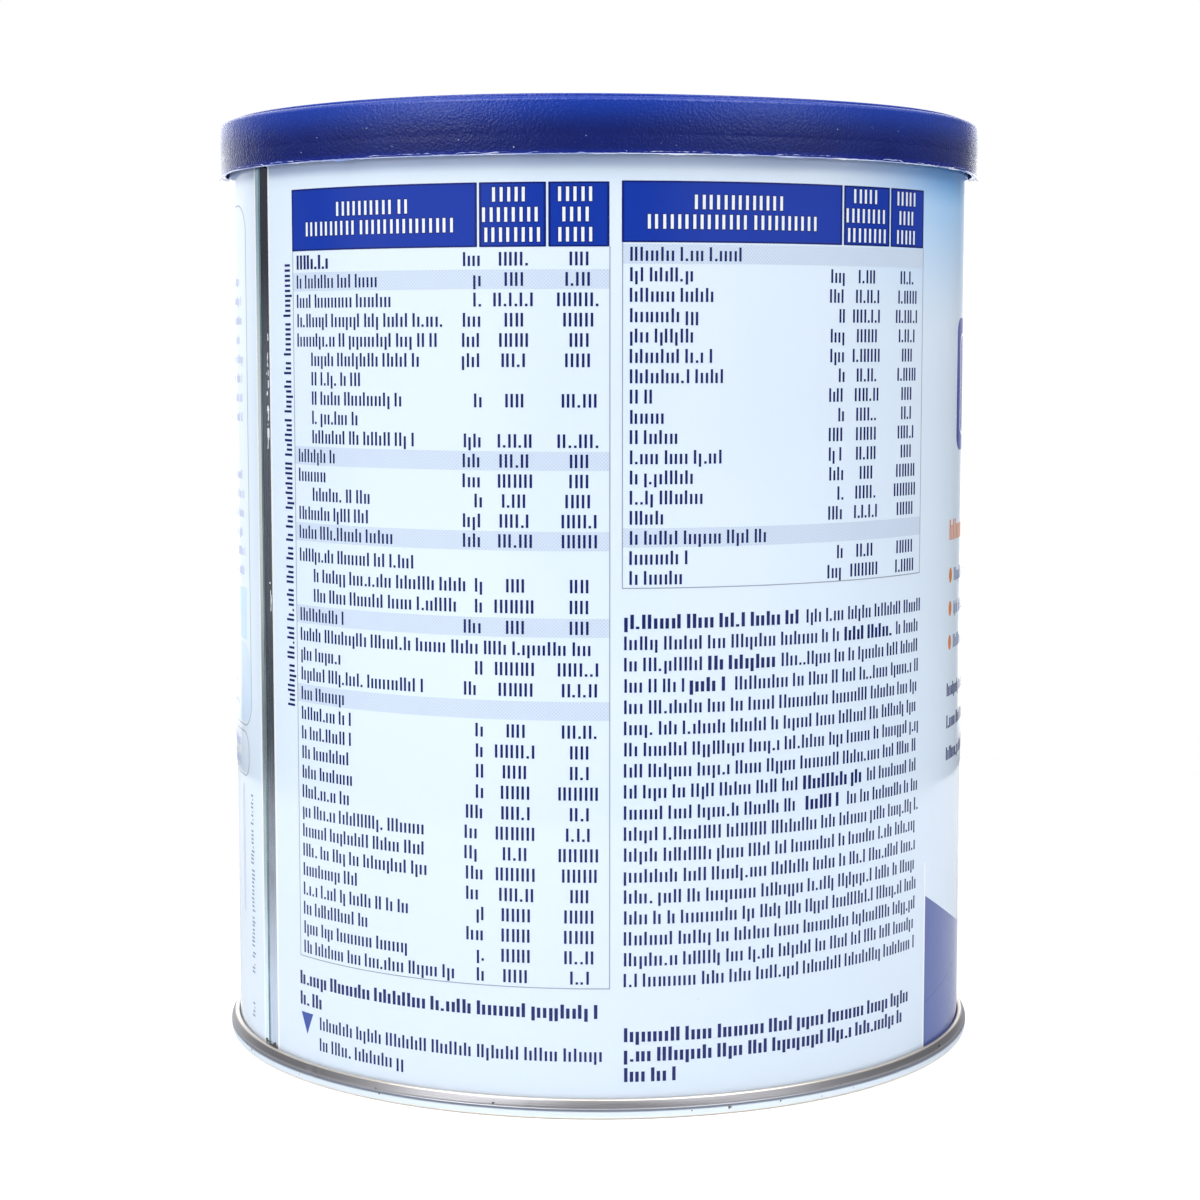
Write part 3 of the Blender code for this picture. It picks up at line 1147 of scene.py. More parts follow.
@dataclass
class BackPanel(Panel):
    """The label's back panel: two tables, a block of small print and the lines below them.

    Attributes:
        left_table: The long table.
        right_table: The short table.
        print_sides: Left and right edge of the small print.
        print_top: Height of its first line.
        print_pitch: Distance from line to line.
        print_lines: How many lines it has.
        heavy_words: For some of these lines, where heavier words start and end.
        heavy_lines: Start, end and height of each heavy line at the foot.
        plain_lines: The same of each plain line.
        pointer: Left, right, top and tip of the small pointer.
        rising_line: Place, start and length of the line that reads upwards.
    """

    name = "back"
    seed = 11
    left_table: DataTable = field(default_factory=lambda: DataTable(
        sides=(-55.1, 1.7), top=143.4, head=9.6, splits=(-18.42, -7.72),
        blocks=((132.0, 3.04, 15), (85.8, 3.19, 21)), bands=(1, 10, 14, 18, 22),
        lengths=(9, 18.6, 21.5, 30.6, 29, 22.5, 11, 19, 11, 21.7, 9.7, 7.4, 13, 16.3, 21, 24.7, 30,
                 28.7, 10.7, 53, 10, 26.5, 11, 12, 12.3, 12, 12.3, 12, 26, 27, 26.7, 13.6, 23.5,
                 15, 23.2, 31.7),
        insets=(5, 6, 7, 8, 9, 12, 16, 17), bare=(6, 8, 15, 19, 22), units=-17.9,
        figures=(-12.75, -2.9), foot=20.4))
    right_table: DataTable = field(default_factory=lambda: DataTable(
        sides=(3.6, 60.9), top=143.55, head=9.1, splits=(40.42, 51.15),
        blocks=((132.7, 3.05, 17),), bands=(0, 14),
        lengths=(17.8, 9.7, 13, 10.7, 10.2, 13.2, 14.7, 4, 5.2, 8, 14.5, 10.5, 11.6, 5.2, 22.2,
                 9.4, 8.9),
        units=41.1, figures=(46.0, 56.2), bare=(0, 14), foot=82.4))
    print_sides: Span = (3.9, 61.6)
    print_top: float = 77.2
    print_pitch: float = 3.27
    print_lines: int = 18
    heavy_words: dict[int, Span] = field(default_factory=lambda: {
        0: (3.9, 33.0), 1: (41.5, 53.0), 2: (17.0, 28.5), 3: (14.0, 20.5), 8: (33.5, 46.0),
        9: (34.0, 41.5)})
    heavy_lines: tuple[tuple[float, float, float], ...] = (
        (-55.3, 0.2, 16.7), (-55.3, -49.3, 13.3), (3.9, 58.9, 13.0), (3.9, 57.1, 9.9),
        (3.9, 12.6, 6.7))
    plain_lines: tuple[tuple[float, float, float], ...] = ((-50.1, 1.0, 9.85), (-50.2, -31.8, 6.4))
    pointer: tuple[float, float, float, float] = (-55.0, -51.9, 11.0, 7.5)
    rising_line: tuple[float, float, float] = (-57.0, 61.0, 71.0)

    def draw_print(self, sheet: PrintSheet, rng: np.random.Generator) -> None:
        """Draw the block of small print, with its heavier words."""
        left, right = self.print_sides
        for row in range(self.print_lines):
            z = self.print_top - self.print_pitch * row
            ragged = right - rng.uniform(0.0, 1.2)
            start, end = self.heavy_words.get(row, (left, left))
            if end > left:
                sheet.marks(Ink.NAVY, BOLD.line(start, end - start, z, rng))
            if start > left:
                sheet.marks(Ink.NAVY, PLAIN.line(left, start - 0.8 - left, z, rng))
            begin = end + (0.9 if end > left else 0.0)
            sheet.marks(Ink.NAVY, PLAIN.line(begin, ragged - begin, z, rng))

    def draw_foot(self, sheet: PrintSheet, rng: np.random.Generator) -> None:
        """Draw the lines below the tables, the pointer and the line that reads upwards."""
        for style, lines in ((BOLD, self.heavy_lines), (PLAIN, self.plain_lines)):
            for start, end, z in lines:
                sheet.marks(Ink.NAVY, style.line(start, end - start, z, rng))
        left, right, top, tip = self.pointer
        across = np.linspace(left, right, 9)
        half = (right - left) / 2
        low = tip + (top - tip - 0.05) * np.abs(across - left - half) / half
        high = np.full(len(across), top)
        sheet.strip(Ink.POINTER, np.stack([across, low], 1), np.stack([across, high], 1))
        s, start, length = self.rising_line
        sheet.marks(Ink.NAVY, PLAIN.rising(s, start, length, rng))

    def draw(self, sheet: PrintSheet, rng: np.random.Generator) -> None:
        """Draw the panel."""
        self.left_table.draw(sheet, rng)
        self.right_table.draw(sheet, rng)
        self.draw_print(sheet, rng)
        self.draw_foot(sheet, rng)


@dataclass
class FrontPanel(Panel):
    """The label's front panel: a plain name plate, lines of marks, a scoop and waves at the foot.

    Attributes:
        sides: Left and right edge of the panel.
        foot: Height of the waves' foot.
        waves: Ink, start, mean height, crest, rise and length of each wave.
        plate_sides: Left and right edge of the name plate.
        plate_heights: Its foot and top.
        plate_corner: Radius of its corners.
        plate_inset: How far its white line lies inside it.
        headline: Start, length and height of the headline.
        bullets: Heights of the bullets.
        bullet_place: Their middle.
        bullet_radius: Half their width.
        heavy_lines: Heights of the dark lines.
        scoop_middle: Middle of the scoop's disc.
    """

    name = "front"
    seed = 12
    sides: Span = (64.6, 261.0)
    foot: float = 2.9
    waves: tuple[tuple[Ink, float, float, float, float, float], ...] = (
        (Ink.PALE_WAVE, 90.0, 31.5, 160.0, 12.0, 150.0), (Ink.WAVE, 64.6, 29.6, 179.7, 11.7, 157.0))
    plate_sides: Span = (77.9, 247.0)
    plate_heights: Span = (101.5, 123.5)
    plate_corner: float = 2.6
    plate_inset: float = 2.5
    headline: tuple[float, float, float] = (74.0, 70.0, 88.4)
    bullets: tuple[float, float, float] = (80.8, 75.2, 69.5)
    bullet_place: float = 74.9
    bullet_radius: float = 0.85
    heavy_lines: tuple[float, float, float] = (61.6, 56.2, 50.8)
    scoop_middle: Span = (204.0, 64.0)

    def draw_waves(self, sheet: PrintSheet) -> None:
        """Draw the waves at the foot, the crease in them and the white line beside them.

        A wave's edge lies at mean + rise * cos(2 pi (s - crest) / length).
        """
        for ink, start, mean, crest, rise, length in self.waves:
            across = np.arange(start, self.sides[1], sheet.step)
            edge = mean + rise * np.cos(2 * pi * (across - crest) / length)
            low = np.full(len(across), self.foot)
            sheet.strip(ink, np.stack([across, low], 1), np.stack([across, edge], 1))
        left = self.sides[0]
        sheet.box(Ink.WHITE_EDGE, (left - 0.6, left - 0.1), (self.foot, 34.0))
        across = np.linspace(left + 0.1, 84.0, 40)
        crease = 10.4 + 0.2 * (across - across[0])
        sheet.strip(Ink.WAVE_SHADE, np.stack([across, crease - 0.22], 1),
                    np.stack([across, crease], 1))

    def draw_words(self, sheet: PrintSheet, rng: np.random.Generator) -> None:
        """Draw the headline, the bullets and the lines of marks."""
        start, length, z = self.headline
        sheet.marks(Ink.ORANGE, HEADLINE.line(start, length, z, rng))
        for z in self.bullets:
            sheet.disc(Ink.ORANGE, (self.bullet_place, z), self.bullet_radius, 1.5)
            sheet.marks(Ink.SLATE, BOLD.line(self.bullet_place + 2.4, rng.uniform(34, 52), z, rng))
        for z in self.heavy_lines:
            sheet.marks(Ink.NAVY, BOLD.line(73.6, rng.uniform(48, 66), z, rng))

    def draw_scoop(self, sheet: PrintSheet) -> None:
        """Draw a plain measuring scoop on a pale disc."""
        s, z = self.scoop_middle
        sheet.disc(Ink.WHITE_EDGE, (s, z), 27.0)
        sheet.outline(Ink.SLATE, (s - 24, s + 24), (z - 24, z + 24), 23.9, 0.7)
        sheet.plate(Ink.HEADER, (s - 15, s + 3), (z - 13, z + 4), 4.0)
        sheet.plate(Ink.HEADER, (s - 2, s + 20), (z - 4.5, z - 0.5), 1.8)
        sheet.disc(Ink.WHITE, (s - 6, z + 4.5), 9.5, 0.34)

    def draw(self, sheet: PrintSheet, rng: np.random.Generator) -> None:
        """Draw the panel."""
        self.draw_waves(sheet)
        sheet.plate(Ink.HEADER, self.plate_sides, self.plate_heights, self.plate_corner)
        (left, right), (low, high), inset = self.plate_sides, self.plate_heights, self.plate_inset
        sheet.outline(Ink.WHITE, (left + inset, right - inset), (low + inset, high - inset), 1.9, 0.5)
        self.draw_words(sheet, rng)
        self.draw_scoop(sheet)


@dataclass
class SidePanel(Panel):
    """The label's side panel, left of the side seam: framed boxes with faint marks, and small marks.

    Attributes:
        frames: For each box, its sides, its foot and top, and its corner radius.
        block: Sides, foot and top of the pale blue block in the first box.
        tint: Sides, foot and top of the faint blue field below the block.
        line_top: Height of the first line of faint marks.
        line_pitch: Distance from line to line.
        line_gap: Middle of a gap between these lines, and half its height.
        short_lines: Heights of the short faint lines below the block.
        foot_lines: Heights of the dark lines at the foot.
        rule: Place, foot and top of the upright rule below the boxes.
        rising_line: Place, start and length of the line that reads upwards.
        seal: Place, start and length of the small mark at the foot.
    """

    name = "side"
    seed = 13
    frames: tuple[tuple[Span, Span, float], ...] = (
        ((268.0, 326.1), (55.1, 142.0), 4.6), ((292.0, 324.2), (46.4, 54.2), 3.2))
    block: tuple[Span, Span] = ((274.0, 323.7), (69.9, 78.6))
    tint: tuple[Span, Span] = ((268.6, 325.5), (55.7, 69.4))
    line_top: float = 129.5
    line_pitch: float = 3.2
    line_gap: Span = (101.0, 3.0)
    short_lines: tuple[float, ...] = (66.2, 62.4, 58.8, 51.8, 48.8)
    foot_lines: tuple[float, ...] = (40.0, 36.6, 33.2, 29.8, 26.4)
    rule: tuple[float, float, float] = (320.3, 23.0, 44.9)
    rising_line: tuple[float, float, float] = (325.3, 13.4, 30.9)
    seal: tuple[float, float, float] = (325.0, 5.9, 2.6)

    def draw(self, sheet: PrintSheet, rng: np.random.Generator) -> None:
        """Draw the panel."""
        for sides, heights, corner in self.frames:
            sheet.outline(Ink.FRAME, sides, heights, corner, 0.26)
        sheet.box(Ink.PALE_BLOCK, *self.block)
        sheet.plate(Ink.TINT, *self.tint, 4.0)
        (left, right), (low, high) = self.block
        heights = np.arange(self.line_top, high + 2, -self.line_pitch)
        middle, reach = self.line_gap
        for z in heights[np.abs(heights - middle) > reach]:
            length = right + 0.7 - left - rng.uniform(0, 3)
            sheet.marks(Ink.PALE_MARKS, SMALL.line(left, length, z, rng))
        for z in self.short_lines:
            sheet.marks(Ink.PALE_MARKS, SMALL.centred(304.0, 22.0 + rng.uniform(0, 8), z, rng))
        sheet.marks(Ink.WHITE, BOLD.centred((left + right) / 2, 36.0, (low + high) / 2, rng))
        place, foot, top = self.rule
        for offset in (0.0, 0.9):
            sheet.box(Ink.PALE_MARKS, (place - offset - 0.2, place - offset), (foot, top))
        for line in (self.rising_line, self.seal):
            sheet.marks(Ink.SLATE, SMALL.rising(*line, rng))
        for z in self.foot_lines:
            sheet.marks(Ink.NAVY, PLAIN.line(268.0, 34.0 - rng.uniform(0, 9), z, rng))


@dataclass
class SideSeam:
    """The welded side seam: a bare margin, the lapped edge beside it and the weld between them.

    Attributes:
        lap: Left and right edge of the lapped edge, which rises towards the weld.
        bare: Left and right edge of the bare margin.
        lap_rise: How far the lapped edge stands proud at the weld.
        edge_width: Width of the white ink edges beside the margin.
        heights: Lowest and highest point, behind the base's rim and under the lid.
        waver: How far the edges stray.
        seed: Seed of the edges' stray.
        flecks: Middle, spread and count of each group of bright flecks.
        stains: Number of dark marks at the foot.
    """

    lap: Span = (-67.8, -66.1)
    bare: Span = (-65.9, -62.85)
    lap_rise: float = 0.14
    edge_width: float = 0.62
    heights: Span = (2.8, 149.0)
    waver: float = 0.05
    seed: int = 21
    flecks: tuple[tuple[float, float, int], ...] = ((110.0, 4.5, 22), (77.0, 1.6, 6))
    stains: int = 6

    def bar(self, name: str, section: Sequence[Span], finish: Finish) -> None:
        """Make an upright bar from a section of (s, height above the wall) points, left to right.

        The section is closed by two points under the wall's surface, and the bars share their
        stray: waver * (mean of four sines along z).

        Args:
            name: The piece's name.
            section: Outer points of the cross-section.
            finish: The finish.
        """
        z = np.arange(*self.heights, 1.0)
        phase = np.random.default_rng(self.seed).uniform(0, 2 * pi, 4)
        waves = np.sin(z[:, None] / np.array([31.0, 13.0, 7.0, 3.1]) + phase)
        stray = self.waver * waves.mean(axis=1)
        outer = np.array(section)
        loop = np.concatenate([outer, [[outer[-1, 0], -0.1], [outer[0, 0], -0.1]]])
        s = loop[:, 0] + stray[:, None]
        radius = np.broadcast_to(WALL_RADIUS + loop[:, 1], s.shape)
        height = np.broadcast_to(z[:, None], s.shape)
        count = len(loop)
        ends = np.stack([np.arange(count)[::-1], np.arange(count) + count * (len(z) - 1)])
        blocks = [grid_faces(len(z), count, False, True), ends]
        points = wall_points(s, height, radius).reshape(-1, 3)
        places = np.stack([s, height], axis=-1).reshape(-1, 2) * MM
        add_piece(name, points, blocks, [places[block] for block in blocks], "bare_steel",
                  finish.material())

    def build(self) -> None:
        """Make the seam's bars, its white edges and its wear."""
        (left, right), (inner, outer), rise = self.lap, self.bare, self.lap_rise
        self.bar("seam_lap", [(left, 0.01), (right - 0.25, rise - 0.02), (right, rise)], LAP_STEEL)
        self.bar("seam_weld", [(right - 0.03, rise + 0.02), (right + 0.08, rise),
                               (inner + 0.05, 0.03)], WELD_STEEL)
        self.bar("seam_margin", [(inner, 0.012), ((inner + outer) / 2, 0.014), (outer, 0.012)],
                 BARE_STEEL)
        sheet = PrintSheet("seam")
        for start in (left - 0.55, outer - 0.05):
            sheet.box(Ink.WHITE_EDGE, (start, start + self.edge_width), self.heights)
        self.draw_wear(sheet)
        sheet.build()

    def draw_wear(self, sheet: PrintSheet) -> None:
        """Draw the bright flecks along the margin's inner edge and the dark marks at its foot.

        Each fleck is a thin upright rectangle; they gather at a few heights, scattered about each.
        """
        rng = np.random.default_rng(22)
        z = np.concatenate([rng.normal(*group) for group in self.flecks])
        s = self.bare[1] - 0.55 - np.abs(rng.normal(0, 0.3, len(z)))
        wide, tall = rng.uniform(0.12, 0.34, len(z)), rng.uniform(0.2, 1.5, len(z))
        sheet.marks(Ink.WHITE, np.stack([s, s + wide, z, z + tall], axis=1))
        z = rng.uniform(3.0, 3.5, self.stains)
        s = rng.uniform(self.lap[0], self.bare[1] - 0.6, self.stains)
        wide, tall = rng.uniform(0.3, 0.9, self.stains), rng.uniform(0.12, 0.4, self.stains)
        sheet.marks(Ink.STAIN, np.stack([s, s + wide, z, z + tall], axis=1))


@dataclass
class Wall:
    """The printed steel wall, a turned solid that ends in the lid above and in the rim below.

    Attributes:
        foot: Height of its lower edge.
        tongue: How far its underside lies inside the edge.
        ceiling: Height of the underside.
        turns: Points round it.
    """

    foot: float = 2.75
    tongue: float = 0.55
    ceiling: float = 4.4
    turns: int = 720

    def build(self) -> None:
        """Make the wall."""
        inner = WALL_RADIUS - self.tongue
        path = fillet_path([(0, WALL_TOP, 0), (WALL_RADIUS, WALL_TOP, 0.6),
                            (WALL_RADIUS, self.foot, 0.05), (inner, self.foot, 0.05),
                            (inner, self.ceiling, 0.1), (0, self.ceiling, 0)])
        piece = add_piece("printed_wall", *turned_solid(refine(path, 12.0), 0.0, self.turns),
                          "printed_steel", WallFinish().material())
        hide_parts("body")


@dataclass
class Base:
    """The steel base: a rolled rim with a step half-way up, small dents, and a beaded sunk panel.

    Attributes:
        rim_height: Height of the rim.
        step_height: Height of the step in its outer face.
        step_depth: How far the face is set back above the step.
        crest: Inner and outer radius of the rim's rounded crest.
        groove: Height of the groove's floor between rim and wall.
        panel_wall: Radius of the hollow under the panel.
        panel_height: Height of the panel's underside.
        panel_sheet: Thickness of the panel.
        bead_radii: Radii of the panel's beads.
        bead_drop: How far they drop.
        bead_half: Half their width.
        turns: Points round the base.
        dents: Place in degrees, half width in degrees and depth of each dent.
        grime: Dark specks on the rim.
    """

    rim_height: float = 3.1
    step_height: float = 1.78
    step_depth: float = 0.09
    crest: Span = (63.6, 64.3)
    groove: float = 2.62
    panel_wall: float = 62.2
    panel_height: float = 3.5
    panel_sheet: float = 0.55
    bead_radii: Span = (54.0, 47.0)
    bead_drop: float = 0.8
    bead_half: float = 1.6
    turns: int = 720
    dents: tuple[tuple[float, float, float], ...] = (
        (-45.8, 0.55, 0.22), (-43.8, 0.35, 0.12), (49.4, 0.5, 0.16), (21.0, 0.4, 0.07),
        (-9.0, 0.3, 0.06), (118.0, 0.6, 0.15))
    grime: Specks = Specks("rim_grime", 32, 44, (0.7, 2.3), (0.09, 0.25, 2))

    def panel(self) -> Array:
        """Underside of the sunk panel, outside in: height - drop * cos^2 across each bead."""
        beads = [centre + self.bead_half * np.linspace(1, -1, 11) for centre in self.bead_radii]
        radius = np.concatenate([[self.panel_wall - 1.2], *beads, [35.0, 20.0, 8.0, 0.0]])
        height = np.full(len(radius), self.panel_height)
        for centre in self.bead_radii:
            across = np.clip((radius - centre) / self.bead_half, -1, 1)
            height = height - self.bead_drop * np.cos(across * pi / 2) ** 2
        return np.stack([radius, height], axis=1)

    def profile(self) -> Array:
        """Profile from the upper pole round the rim to the lower pole."""
        rim, under = RIM_RADIUS, self.panel_height
        inner, outer = self.crest
        top, raised = under + self.panel_sheet, self.panel_wall + 0.65
        path = fillet_path([
            (0, top, 0), (raised, top, 0.4), (raised, self.groove, 0.08),
            (inner, self.groove, 0.08), (inner, self.rim_height, 0.3),
            (outer, self.rim_height, 0.42), (rim - 0.06, self.step_height + 0.12, 0.5),
            (rim - self.step_depth, self.step_height, 0.03), (rim, self.step_height - 0.1, 0.08),
            (rim, 0.0, 0.7), (62.95, 0.0, 0.5), (self.panel_wall, under, 0.6),
            (self.panel_wall - 1.2, under, 0)])
        return np.concatenate([refine(path, 6.0)[:-1], self.panel()])

    def ripple(self, profile: Array) -> Array:
        """Small dents and unevenness of the rim: each dent is a bell-shaped push inwards.

        The push fades with the distance from the rim's outer face and from the dent's height.
        """
        radius, height = profile[1:-1].T
        outside = np.clip((radius - 64.2) / 0.5, 0, 1)
        lift = np.exp(-((height - 2.0) / 0.9) ** 2)
        push = bells(self.turns, self.dents)[:, None] * lift
        waver = 0.012 * wave_noise(self.turns, 3, 60, 31)[:, None] * (height > 0.4)
        return np.stack([outside * (waver - push), np.zeros_like(push)], axis=-1)

    def face(self, height: Array) -> Array:
        """Radius of the rim's outer face, by straight lines between points of its profile."""
        return RIM_RADIUS - np.interp(height, [1.65, 1.78, 1.9, 2.4], [0.0, 0.08, 0.07, 0.25])

    def build(self) -> None:
        """Make the base and its specks."""
        profile = self.profile()
        piece = add_piece("rolled_base", *turned_solid(profile, self.ripple(profile), self.turns),
                          "bare_steel", RIM_STEEL.material())
        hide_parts("base")
        self.grime.build(self.face, "bare_steel", GRIME)


@dataclass
class Lid:
    """The pushed-on plastic lid: skirt, round shoulder, stacking bead, sunk top and ragged flash.

    Attributes:
        bead: Inner and outer radius of the stacking bead.
        bead_rise: How far it stands above the shoulder.
        shoulder: How far the shoulder reaches inwards, and how far it drops.
        belly: Height at which the skirt is widest.
        crown_inset: How far the skirt lies inside its belly 1.6 mm above it.
        lip_inset: How far the lip lies inside the belly.
        hollow: Height, half width and depth of a faint hollow round the skirt.
        sunk: Depth of the sunk top below the bead.
        step_radius: Radius of the step in the sunk top.
        step_drop: How far the top drops there.
        wall: Thickness of the lid.
        gate_radius: Radius of the raised mark in its middle.
        foot: Height of the lip.
        turns: Points round the lid.
        flash_turns: Points round the flash and the torn line.
        curls: Place in degrees, width in degrees and strength of each curl of the flash.
        dust: White specks on the skirt.
    """

    bead: Span = (60.1, 63.1)
    bead_rise: float = 0.5
    shoulder: Span = (0.9, 0.85)
    belly: float = 152.9
    crown_inset: float = 0.075
    lip_inset: float = 0.3
    hollow: tuple[float, float, float] = (150.35, 0.5, 0.035)
    sunk: float = 2.4
    step_radius: float = 50.0
    step_drop: float = 0.6
    wall: float = 1.05
    gate_radius: float = 1.7
    foot: float = 147.45
    turns: int = 720
    flash_turns: int = 1440
    curls: tuple[tuple[float, float, float], ...] = (
        (-79.0, 5.0, 1.0), (79.5, 5.5, 1.0), (-38.0, 1.6, 0.18), (141.0, 6.0, 0.8))
    dust: Specks = Specks("lid_dust", 45, 90, (147.85, 153.05), (0.035, 0.07, 3), 0.02)

    def skirt(self, height: Array) -> Array:
        """Radius of the barrel-shaped skirt: it falls back from its belly by inset * (away / reach)^2.

        A faint hollow runs round it: depth * exp(-(away / half width)^2).
        """
        above = self.crown_inset * ((height - self.belly) / 1.6) ** 2
        below = self.lip_inset * ((self.belly - height) / (self.belly - self.foot)) ** 2
        middle, half, depth = self.hollow
        hollow = depth * np.exp(-((height - middle) / half) ** 2)
        return LID_RADIUS - np.where(height > self.belly, above, below) - hollow

    def profile(self) -> Array:
        """Profile from the upper pole over the bead, shoulder and skirt to the inner pole.

        The shoulder is a quarter ellipse: reach * sin a outwards and drop * (1 - cos a) down.
        """
        top = LID_TOP - 0.05
        sheet = top - self.sunk
        low = sheet - self.step_drop
        bead_inner, bead_outer = self.bead
        ledge = top - self.bead_rise
        over = fillet_path([
            (0, low + 0.25, 0), (self.gate_radius, low + 0.25, 0.1), (self.gate_radius, low, 0.1),
            (self.step_radius - 1.0, low, 0.3), (self.step_radius, sheet, 0.3),
            (bead_inner - 0.25, sheet, 0.6), (bead_inner, top, 0.5), (bead_outer, top, 0.3),
            (bead_outer, ledge, 0.12), (bead_outer + 0.25, ledge - 0.04, 0)], 4)
        reach, drop = self.shoulder
        angle = np.linspace(0.12, pi / 2, 20)
        crown, end = ledge - 0.02, ledge - 0.02 - drop
        start = self.skirt(np.array(end)) - reach
        shoulder = np.stack([start + reach * np.sin(angle), crown - drop * (1 - np.cos(angle))],
                            axis=1)
        height = np.linspace(end, self.foot + 0.5, 36)[1:]
        barrel = np.stack([self.skirt(height), height], axis=1)
        inner, under = LID_RADIUS - self.wall, sheet - self.wall
        inside = fillet_path([
            (barrel[-1, 0], barrel[-1, 1], 0), (LID_RADIUS - self.lip_inset, self.foot, 0.2),
            (inner + 0.05, self.foot, 0.15), (inner, under - 0.6, 0.5), (inner - 1.0, under, 0.4),
            (self.step_radius + 0.5, under, 0.2),
            (self.step_radius - 0.2, under - self.step_drop, 0.2),
            (0, under - self.step_drop, 0)], 4)
        return np.concatenate([refine(over, 12.0), shoulder, barrel, refine(inside[1:], 12.0)])

    def ripple(self, profile: Array) -> Array:
        """Slight warp of the whole lid: its height and radius stray by smooth waves round it."""
        radius, height = profile[1:-1].T
        turn = 2 * pi * np.arange(self.turns)[:, None] / self.turns
        tilt = -0.07 * np.sin(2 * turn) - 0.05 * np.sin(5 * turn) - 0.06
        swell = 0.018 * wave_noise(self.turns, 2, 14, 41)[:, None] - 0.02
        outside = np.clip((radius - 55) / 6, 0, 1)
        return np.stack([swell * outside, tilt * outside * (height > self.foot + 3)], axis=-1)

    def build_flash(self) -> None:
        """Make the thin ragged flash that hangs along the lip, curled out at a few places.

        Its fin hangs below the lip by a thin edge plus a rough wave cut off at zero, and leans outwards
        by another wave. Where it curls, it hangs lower, leans out and crinkles.
        """
        foot, rim, turns = self.foot, LID_RADIUS - self.lip_inset, self.flash_turns
        rough = wave_noise(turns, 5, 60, 42) + wave_noise(turns, 60, 420, 43)
        curl = bells(turns, self.curls)
        crinkled = curl * (1 + 0.45 * wave_noise(turns, 90, 500, 46))
        low = foot - 0.05 - 0.16 * np.clip(rough, 0, 1) - 0.62 * crinkled
        lean = 0.05 + 0.05 * wave_noise(turns, 20, 300, 44) + 0.22 * crinkled
        section = [(rim - 0.06, foot + 0.1), (rim + 0.02 + 0.3 * lean, foot + 0.02 - 0.3 * curl),
                   (rim + lean, low), (rim + lean - 0.03 - 0.05 * curl, low + 0.01),
                   (rim - 0.16 + 0.3 * lean, foot - 0.02 - 0.4 * curl), (rim - 0.7, foot - 0.01),
                   (rim - 0.66, foot + 0.18)]
        radius, height = (np.stack([np.broadcast_to(point[k], turns) for point in section], axis=1)
                          for k in (0, 1))
        add_piece("lid_flash", *turned_ring(radius, height), "blue_plastic",
                  FLASH_PLASTIC.material())

    def build_tear(self) -> None:
        """Make the torn line above the lip: a thin pale bead that wanders, thickens and thins out.

        Its section is a diamond round the skirt's surface. Its height jumps by tanh(9 * wave), and its
        half height is a rough wave cut off below, so that it sinks into the skirt where it breaks.
        """
        turns = self.flash_turns
        jump = np.tanh(9 * wave_noise(turns, 9, 90, 47))
        height = self.foot + 0.2 + 0.13 * jump + 0.09 * wave_noise(turns, 60, 420, 48)
        rough = wave_noise(turns, 9, 60, 49) + 1.4 * wave_noise(turns, 60, 420, 50)
        thick = (0.02 + 0.085 * np.clip(0.15 + rough, 0, 1))[:, None]
        surface = self.skirt(height)[:, None] - 0.035
        ring = turned_ring(surface + thick * [0, 1, 0, -1], height[:, None] + thick * [1, 0, -1, 0])
        add_piece("lid_tear_line", *ring, "blue_plastic", FLASH_PLASTIC.material())

    def build(self) -> None:
        """Make the lid, its flash, its torn line and its dust."""
        profile = self.profile()
        piece = add_piece("blue_lid", *turned_solid(profile, self.ripple(profile), self.turns),
                          "blue_plastic", LID_PLASTIC.material())
        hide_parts("lid")
        self.build_flash()
        self.build_tear()
        self.dust.build(self.skirt, "blue_plastic", DUST)


@dataclass(frozen=True)
class Glow:
    """Soft patch of light in the studio's surroundings.

    Attributes:
        strength: Radiance in the middle of the patch.
        azimuth: Degrees round from the camera's side, to the right.
        spread: Half width in degrees.
        soft: Half width of the soft sides in degrees.
        foot: Sine of the elevation at which the patch starts.
        heights: Sines of the elevations between which it fades out upwards.
    """

    strength: float
    azimuth: float
    spread: float
    soft: float
    foot: float
    heights: Span

    def place(self, shade: Shading, way: Any, flat: Any) -> bpy.types.NodeSocket:
        """Add the patch to a world.

        The strength is the product of three smooth steps: one of the angle round from the patch's
        middle, taken through its cosine, one at the patch's foot and one at its top.

        Args:
            shade: The world's nodes.
            way: Outputs with the direction's X, Y and Z.
            flat: Length of the direction's level part.

        Returns:
            The patch's strength in that direction.
        """
        turn = radians(self.azimuth)
        along = shade.math("ADD", shade.math("MULTIPLY", way["X"], sin(turn)),
                           shade.math("MULTIPLY", way["Y"], -cos(turn)))
        sides = shade.ramp(shade.math("DIVIDE", along, flat), cos(radians(self.spread + self.soft)),
                           cos(radians(self.spread - self.soft)), 0.0, self.strength)
        foot = shade.ramp(way["Z"], self.foot - 0.03, self.foot + 0.03)
        return shade.math("MULTIPLY", shade.math("MULTIPLY", sides, foot),
                          shade.ramp(way["Z"], *self.heights, 1.0, 0.0))


